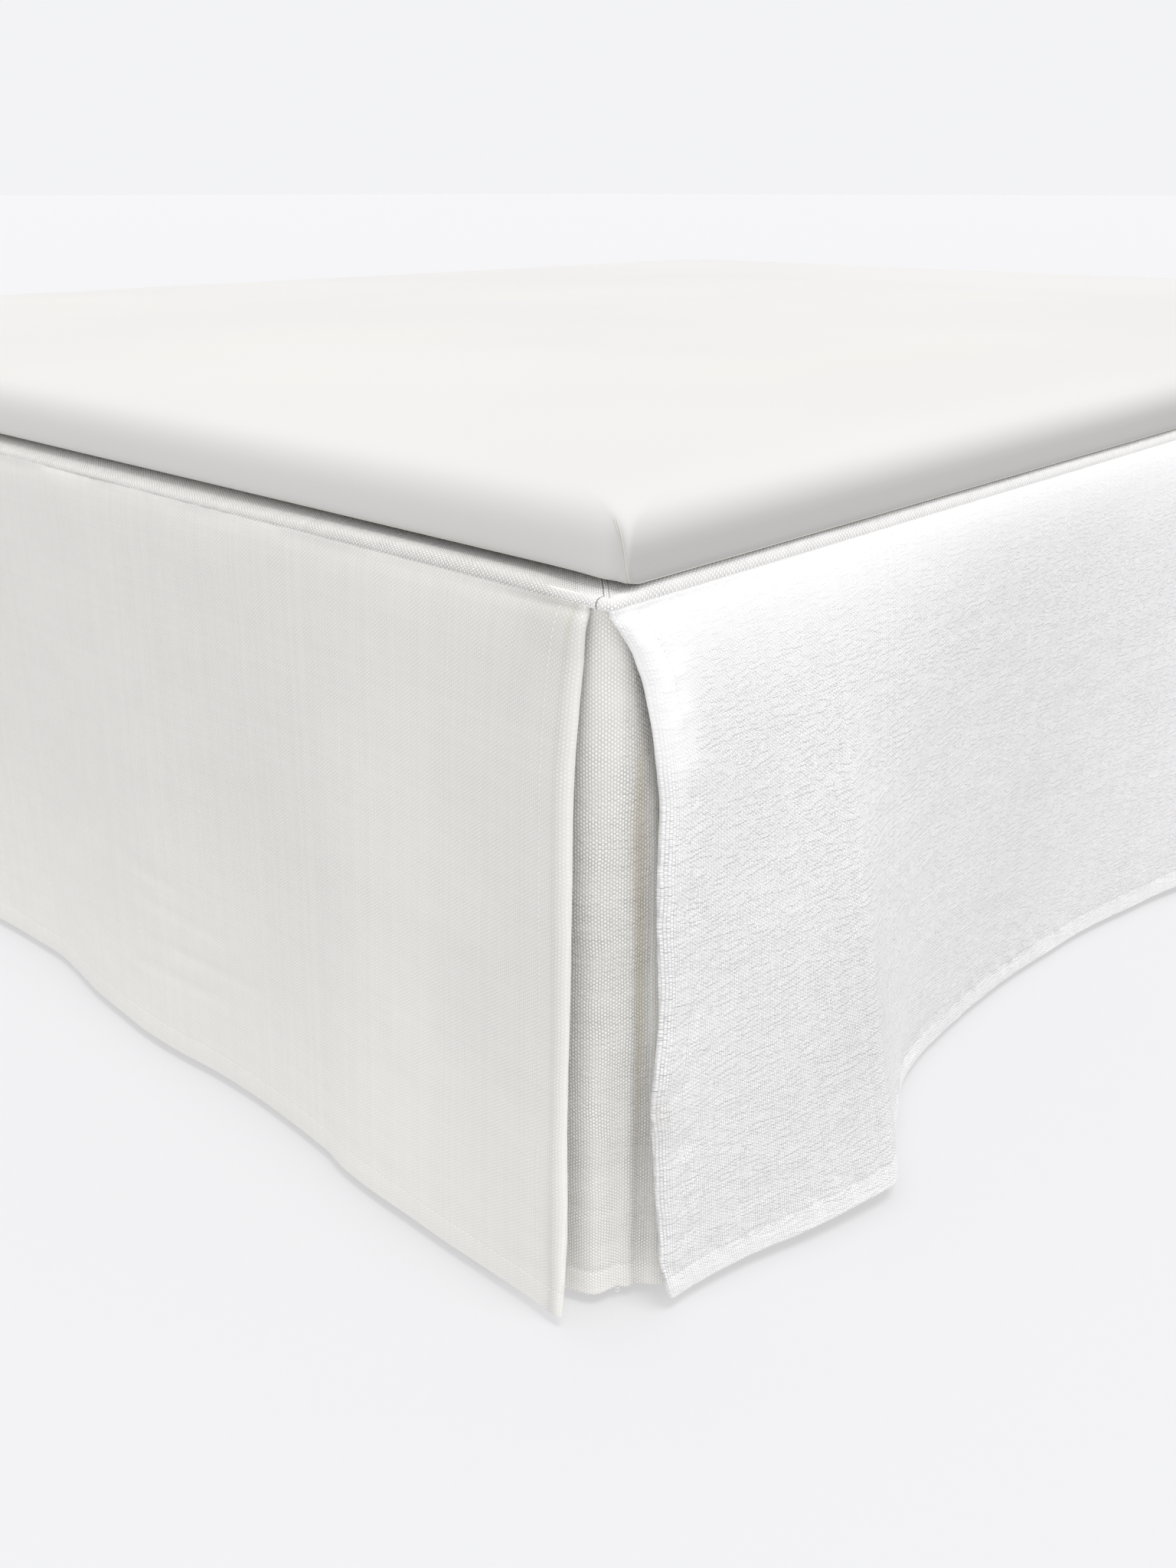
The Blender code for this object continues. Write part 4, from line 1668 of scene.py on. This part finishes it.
@dataclass(frozen=True)
class Mattress:
    """A thin mattress in a smooth fitted sheet, with a seam down each corner."""

    name: str = "mattress_in_sheet"
    half_width: float = 0.8015
    foot: float = -0.9685
    head: float = 1.020
    radius: float = 0.006
    bottom: float = 0.4584
    top: float = 0.5053
    seed: int = 91

    # From the underside up: inset at the foot and head, inset at the sides, height at the
    # foot and head, height at the sides, radius of the corners; in shares of the height
    SECTION = (
        (0.80, 0.80, 0.000, 0.000, 0.40), (0.42, 0.40, 0.014, 0.000, 0.36),
        (0.20, 0.16, 0.060, 0.020, 0.32), (0.09, 0.07, 0.086, 0.042, 0.27),
        (0.035, 0.025, 0.100, 0.062, 0.20), (0.010, 0.006, 0.120, 0.090, 0.14),
        (0.000, 0.000, 0.170, 0.155, 0.08), (0.000, 0.000, 0.240, 0.240, 0.055),
        (0.000, 0.000, 0.350, 0.350, 0.050), (0.004, 0.004, 0.460, 0.460, 0.055),
        (0.018, 0.022, 0.560, 0.560, 0.075), (0.045, 0.060, 0.660, 0.655, 0.12),
        (0.090, 0.115, 0.750, 0.740, 0.19), (0.150, 0.185, 0.825, 0.815, 0.29),
        (0.230, 0.270, 0.885, 0.875, 0.40), (0.330, 0.375, 0.930, 0.922, 0.52),
        (0.460, 0.500, 0.963, 0.957, 0.65), (0.620, 0.660, 0.984, 0.980, 0.78),
        (0.830, 0.860, 0.995, 0.993, 0.90), (1.100, 1.100, 1.000, 1.000, 0.90),
        (1.800, 1.800, 1.000, 1.000, 0.60), (3.000, 3.000, 1.000, 1.000, 0.30),
        (5.000, 5.000, 1.000, 1.000, 0.10), (8.000, 8.000, 1.000, 1.000, 0.10),
        (11.00, 11.00, 1.000, 1.000, 0.10), (14.00, 14.00, 1.000, 1.000, 0.10),
        (17.05, 17.05, 1.000, 1.000, 0.01),
    )

    TAPE_ROW = 4                 # the row that the tape round the lower edge follows
    WIDEST_ROW = 8
    SEAM_ROWS = slice(4, 13)     # the rows that a corner seam crosses
    SEAM_COLUMNS = (8, 16)       # points looked at on either side of the corner
    PINCH = 0.0024               # how deep the sheet is drawn in beside a corner seam
    PINCH_PAINTED_SHADE = -0.05           # painted shade beside a corner seam
    SEAM_LEAN = 0.0070           # how far a corner seam's top leans to the end face
    SEAM_APART = 0.0008          # from a corner seam's middle to either ridge
    SIDE_PAINTED_SHADING = -0.245           # painted shade on the sheet down the long sides
    UNEVEN = ((0.0009, 0.31), (0.0005, 0.13))        # height and size of its ripples

    def _rings(self) -> tuple[np.ndarray, np.ndarray]:
        """Shape the mattress in rings, from the underside up.

        Returns:
            The rings' points, and the painted shade on the sheet at each, below 0.
        """
        height = self.top - self.bottom
        path = PlanPath(
            self.half_width, self.foot, self.head, self.radius, fine=0.008, coarse=0.016,
        )
        foot_in, side_in, foot_up, side_up, radii = height * np.array(self.SECTION).T
        plan_foot, outward, _ = path.rings(foot_in, radii)
        plan_side, _, _ = path.rings(side_in, radii)
        sideways = outward[..., 0] ** 2
        plan = plan_foot * (1 - sideways[..., None]) + plan_side * sideways[..., None]
        x, y = plan[..., 0], plan[..., 1]
        from_corner = self.half_width - np.abs(x)
        droop = np.maximum(sideways, 0.75 * bell(from_corner, 0.028))
        rise = foot_up[:, None] * (1 - droop) + side_up[:, None] * droop
        crown = faded(rise / height) ** 2
        z = self.bottom + rise + crown * self._top_relief(x, y)
        upright = faded((0.80 - rise / height) / 0.40)
        end = upright * (1.0 - sideways)
        y = y + np.sign(-outward[..., 1]) * self.PINCH * end * bell(from_corner - 0.010, 0.006)
        # painted shade: the long sides and the hollows beside the corner seams are made greyer
        tone = self.SIDE_PAINTED_SHADING * sideways * upright
        tone = tone + self.PINCH_PAINTED_SHADE * end * bell(from_corner - 0.003, 0.010)
        return np.stack([x, y, z], axis=-1), tone

    def _top_relief(self, x: np.ndarray, y: np.ndarray) -> np.ndarray:
        """Work out the soft unevenness of the stretched sheet over the padding.

        Args:
            x: places across the bed.
            y: places along it.

        Returns:
            Heights, in metres.
        """
        (broad, broad_size), (fine, fine_size) = self.UNEVEN
        height = broad * ripple(x, y, broad_size, self.seed)
        return height + fine * ripple(x, y, fine_size, self.seed + 1) - broad

    def build(self, sheet: bpy.types.Material, tape: bpy.types.Material) -> None:
        """Make the mattress, its corner seams and the tape round its lower edge.

        Args:
            sheet: the fitted sheet's finish.
            tape: the finish of the seams and the tape.
        """
        rings, tone = self._rings()
        numbers = np.arange(rings.shape[0] * rings.shape[1]).reshape(rings.shape[:2])
        points = rings.reshape(-1, 3)
        mattress = new_object(self.name, points, capped(numbers, 1), None, tone.ravel())
        dress(mattress, sheet, Slot.SHEET, "mattress")
        for corner in range(4):
            self._corner_seam(rings, corner, tape)
        edge = rings[self.TAPE_ROW] + np.array([0.0, 0.0, 0.0001])
        dress(cord("mattress_edge_tape", edge, 0.0005, True), tape, Slot.SHEET)

    def _corner_seam(self, rings: np.ndarray, corner: int, finish: bpy.types.Material) -> None:
        """Two fine ridges of a sewn corner, side by side, leaning to the end face.

        Args:
            rings: the mattress's rings of points.
            corner: which corner, from 0 at the right of the foot, anticlockwise.
            finish: the seam's finish.
        """
        sign_x, sign_y, _ = PlanPath.CORNERS[corner]
        target = np.array([sign_x * self.half_width, self.head if sign_y > 0 else self.foot])
        gaps = np.linalg.norm(rings[self.WIDEST_ROW][:, :2] - target, axis=1)
        before, after = self.SEAM_COLUMNS
        steps = np.arange(-before, after) * (1 if corner % 2 else -1)
        near = rings[self.SEAM_ROWS, (int(np.argmin(gaps)) + steps) % rings.shape[1]]
        walked = travelled(near)
        walked -= walked[:, before:before + 1]
        out = np.array([sign_x, sign_y, 0.0]) * 0.0001
        rise = near[:, before, 2] - near[0, before, 2]
        places = self.SEAM_LEAN * rise / rise[-1]
        for side, apart in (("a", -self.SEAM_APART), ("b", self.SEAM_APART)):
            line = np.array([
                [np.interp(place + apart, run, row[:, axis]) for axis in range(3)]
                for place, run, row in zip(places, walked, near)
            ])
            at, share = np.linspace(0.0, 1.0, len(line)), np.linspace(0.0, 1.0, 40)
            smooth = np.stack([np.interp(share, at, line[:, axis]) for axis in range(3)], axis=-1)
            name = f"mattress_corner_seam_{corner + 1}{side}"
            dress(cord(name, smooth + out, 0.0003, False), finish, Slot.SHEET)


def deselect() -> None:
    """Clear the selection, so that an operator acts on the new primitive alone."""
    bpy.ops.object.select_all(action="DESELECT")


def box(name: str, low: Vector, high: Vector) -> bpy.types.Object:
    """A primitive cube, sized and placed, in object mode and selected.

    Args:
        name: the piece's name.
        low: its lowest corner.
        high: its highest corner.

    Returns:
        The cube's object, at the origin and unscaled.
    """
    deselect()
    bpy.ops.mesh.primitive_cube_add(size=1.0, location=(low + high) / 2)
    obj = bpy.context.active_object
    obj.name = obj.data.name = name
    obj.scale = high - low
    bpy.ops.object.transform_apply(location=True, rotation=True, scale=True)
    return obj


def cloth_by_side(obj: bpy.types.Object) -> None:
    """Lay the cloth map on each face along its own side of a box, in metres.

    Args:
        obj: the box.
    """
    mesh = obj.data
    for layer in list(mesh.uv_layers):
        mesh.uv_layers.remove(layer)
    layer = mesh.uv_layers.new(name=CLOTH_MAP)
    for face in mesh.polygons:
        axis = max(range(3), key=lambda number: abs(face.normal[number]))
        first, second = [number for number in range(3) if number != axis]
        for corner in face.loop_indices:
            point = mesh.vertices[mesh.loops[corner].vertex_index].co
            layer.uv[corner].vector = (point[first], point[second])


@dataclass(frozen=True)
class BedBase:
    """The plain base, a frame in a close-fitting twill cover."""

    name: str = "covered_base"
    edge: float = 0.008
    cuts: int = 24

    SINK = 0.0012                # how far the cover sinks between its edges
    FOLD = 0.0007                # height of its tension folds
    FACE = 0.004                 # a point this near to a side face lies on it

    def build(self, cover: bpy.types.Material) -> None:
        """Make the base.

        Args:
            cover: its cover's finish.
        """
        low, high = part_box("bed_base")
        base = box(self.name, low, high)
        bpy.ops.object.mode_set(mode="EDIT")
        bpy.ops.mesh.select_all(action="SELECT")
        bpy.ops.mesh.subdivide(number_cuts=self.cuts)
        bpy.ops.object.mode_set(mode="OBJECT")
        rounding = base.modifiers.new("soft_edges", "BEVEL")
        rounding.width = self.edge
        rounding.segments = 4
        rounding.angle_limit = math.radians(50.0)
        bpy.ops.object.modifier_apply(modifier=rounding.name)
        self._draw_in(base, low, high)
        cloth_by_side(base)
        base.data.shade_smooth()
        dress(base, cover, Slot.BASE, "bed_base")

    def _draw_in(self, base: bpy.types.Object, low: Vector, high: Vector) -> None:
        """Let the cover sink a little between its edges, with faint tension folds.

        Args:
            base: the base.
            low: its lowest corner.
            high: its highest corner.
        """
        for point in base.data.vertices:
            x, y, z = point.co
            share = (z - low.z) / (high.z - low.z)
            sink = self.SINK * math.sin(math.pi * min(max(share, 0.0), 1.0))
            fold = self.FOLD * float(ripple(np.array(x + y), np.array(z * 0.5), 0.045, 55))
            drawn = max(sink + fold, 0.0)
            if abs(x) > high.x - self.FACE and abs(y) < high.y:
                point.co.x -= math.copysign(drawn, x)
            if abs(y - (low.y + high.y) / 2) > (high.y - low.y) / 2 - self.FACE:
                point.co.y -= math.copysign(drawn, y)


@dataclass(frozen=True)
class BedLeg:
    """A square leg, tapered to its foot, with eased edges."""

    number: int
    taper: float = 0.75
    ease: float = 0.0025

    def build(self, wood: bpy.types.Material) -> None:
        """Make the leg.

        Args:
            wood: its finish.
        """
        node = f"bed_leg_{self.number}"
        low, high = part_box(node)
        leg = box(f"turned_leg_{self.number}", low, high)
        bpy.ops.object.mode_set(mode="EDIT")
        shape = bmesh.from_edit_mesh(leg.data)
        for face in shape.faces:
            face.select_set(face.normal.z < -0.9)
        shape.select_flush_mode()
        bmesh.update_edit_mesh(leg.data)
        bpy.ops.transform.resize(value=(self.taper, self.taper, 1.0))
        bpy.ops.mesh.select_all(action="SELECT")
        bpy.ops.mesh.bevel(offset=self.ease, segments=3, affect="EDGES")
        bpy.ops.object.mode_set(mode="OBJECT")
        bpy.ops.object.shade_smooth_by_angle(angle=math.radians(40.0))
        dress(leg, wood, Slot.LEG, node)


# ---------------------------------------------------------------- the studio


@dataclass(frozen=True)
class Studio:
    """Floor, light and camera."""

    frame_width: float = 1536.0
    frame_height: float = 2048.0
    focal_pixels: float = 1780.0
    centre: tuple[float, float] = (778.0, 1086.0)
    turn: float = 43.0           # degrees from +Y towards -X
    tilt: float = 25.2           # degrees below the horizon
    distance: float = 0.645      # of the camera from the foot corner, level
    side: float = 0.00704        # how far it stands to the left of the line to that corner
    height: float = 0.6366
    sky: tuple = rgb(0.896, 0.896, 0.914)
    sun_from: tuple[float, float, float] = (0.25, -0.02, 0.96)
    sun_strength: float = 1.55
    sun_spread: float = 24.0

    def build(self) -> None:
        """Set up the floor, the light and the camera."""
        deselect()
        bpy.ops.mesh.primitive_plane_add(size=400.0, location=(0.0, 0.0, 0.0))
        floor = bpy.context.active_object
        floor.name = "studio_floor"
        floor.data.materials.append(PaintedFloor("studio_floor").material())
        world = bpy.data.worlds.new("studio_light")
        world.use_nodes = True
        world.node_tree.nodes["Background"].inputs[0].default_value = self.sky
        bpy.context.scene.world = world
        lamp = bpy.data.lights.new("studio_key", "SUN")
        lamp.energy, lamp.angle = self.sun_strength, math.radians(self.sun_spread)
        key = bpy.data.objects.new("studio_key", lamp)
        key.rotation_mode = "QUATERNION"
        key.rotation_quaternion = Vector(self.sun_from).to_track_quat("Z", "Y")
        bpy.context.scene.collection.objects.link(key)
        self._camera()
        bpy.context.scene.view_settings.view_transform = "Standard"
        LOG.info("studio: floor, sky, key light and camera")

    def _camera(self) -> None:
        """Place the camera as the photograph was taken."""
        turn, tilt = math.radians(self.turn), math.radians(self.tilt)
        ahead = Vector((-math.sin(turn), math.cos(turn), 0.0))
        right = Vector((math.cos(turn), math.sin(turn), 0.0))
        view = ahead * math.cos(tilt) - Vector((0.0, 0.0, math.sin(tilt)))
        up = right.cross(view)
        data = bpy.data.cameras.new("photo_camera")
        data.sensor_width = 36.0
        data.lens = self.focal_pixels / self.frame_height * data.sensor_width
        data.shift_x = (self.frame_width / 2 - self.centre[0]) / self.frame_height
        data.shift_y = (self.centre[1] - self.frame_height / 2) / self.frame_height
        data.clip_start, data.clip_end = 0.02, 500.0
        camera = bpy.data.objects.new("photo_camera", data)
        place = Vector((HALF_WIDTH, FOOT_Y, 0.0)) - ahead * self.distance - right * self.side
        place.z = self.height
        turned = Matrix((right, up, -view)).transposed()
        camera.matrix_world = Matrix.Translation(place) @ turned.to_4x4()
        bpy.context.scene.collection.objects.link(camera)
        bpy.context.scene.camera = camera


# ---------------------------------------------------------------- making


def build_skirt(thread: bpy.types.Material) -> None:
    """Build the deck, the drops and the inserts.

    Args:
        thread: the sewing thread's finish.
    """
    # the deck's yarn is a paler copy of the skirt's cotton, painted light for its brightly lit lip
    deck_cotton_painted_light = WovenCloth(
        "deck_cotton_painted_light", rgb(0.854, 0.845, 0.828), contrast=0.55, depth=0.00050,
        shade_tint=(1.0, 0.985, 0.957),
    ).material()
    Deck().build(deck_cotton_painted_light, thread)
    foot_cotton = WovenCloth("foot_cotton", contrast=0.19, depth=0.00012, mottle=0.035).material()
    # the sides' yarn is a paler copy of the foot's cotton, painted light for the brighter-lit sides
    side_cotton_painted_light = WovenCloth(
        "side_cotton_painted_light", rgb(0.832, 0.825, 0.820), contrast=0.46, depth=0.00034, washed=0.00056,
        neps=0.0, weft_rise=0.50, weave_under_light=0.25,
    ).material()
    insert_cotton = WovenCloth(
        "insert_cotton", rgb(0.765, 0.757, 0.722), contrast=0.52, depth=0.00036,
        washed=0.00034, neps=0.0, mottle=0.07, cloud=34.0, weave_under_light=0.6,
    ).material()
    DropPanel(
        "foot_drop", 11, "foot_panel", crinkle=0.00008, billow=0.0008, pucker=0.00014,
        groove=0.00018, edge_highlight=0.14, lower_half_light=0.09, painted_patches=FOOT_PAINTED_PATCHES,
        creases=FOOT_CREASES, edge=FOOT_EDGE, start=0.0135, length=1.573, folds=FOOT_FOLDS,
        near_swing=FOOT_SWING, far_swing=FOOT_SWING, grading=FOOT_GRADING,
    ).build(foot_cotton, thread)
    for name, seed, edge, folds, grading, creases in (
        ("right", 31, RIGHT_EDGE, RIGHT_FOLDS, RIGHT_GRADING, SEAM_CREASES),
        ("left", 51, LEFT_EDGE, LEFT_FOLDS, LEFT_GRADING, ()),
    ):
        DropPanel(
            f"side_drop_{name}", seed, f"side_panel_{name}", crinkle=0.00034, pressed=0.75,
            billow=0.0006, pucker=0.00110, hem_band_light=0.06, shoulder_light=0.15, most_painted_light=0.16,
            painted_patches=SIDE_PAINTED_PATCHES, creases=creases, edge=edge, folds=folds,
            near_swing=SIDE_SWING, grading=grading,
        ).build(side_cotton_painted_light, thread)
    for name, seed, mirror in (("right", 101, 1.0), ("left", 121, -1.0)):
        CornerInsert(
            f"insert_{name}", seed, f"corner_insert_{name}", crinkle=0.00026, hem_band_light=0.05,
            shoulder_light=0.40, lower_half_light=0.11, painted_patches=INSERT_PAINTED_PATCHES, mirror=mirror,
        ).build(insert_cotton, thread)


def main() -> None:
    """Set up the studio, build the bed, then the skirt that hangs from it."""
    logging.basicConfig(level=logging.INFO, format="%(message)s")
    Studio().build()
    thread = SewingThread("sewing_thread").material()
    seam_thread = SewingThread("sheet_seam", rgb(0.66, 0.645, 0.59)).material()
    Mattress().build(SmoothSheeting("fitted_sheet").material(), seam_thread)
    BedBase().build(TwilledCover("base_twill").material())
    wood = OiledWood("leg_wood").material()
    for number in range(1, LEGS + 1):
        BedLeg(number).build(wood)
    build_skirt(thread)


if __name__ == "__main__":
    main()
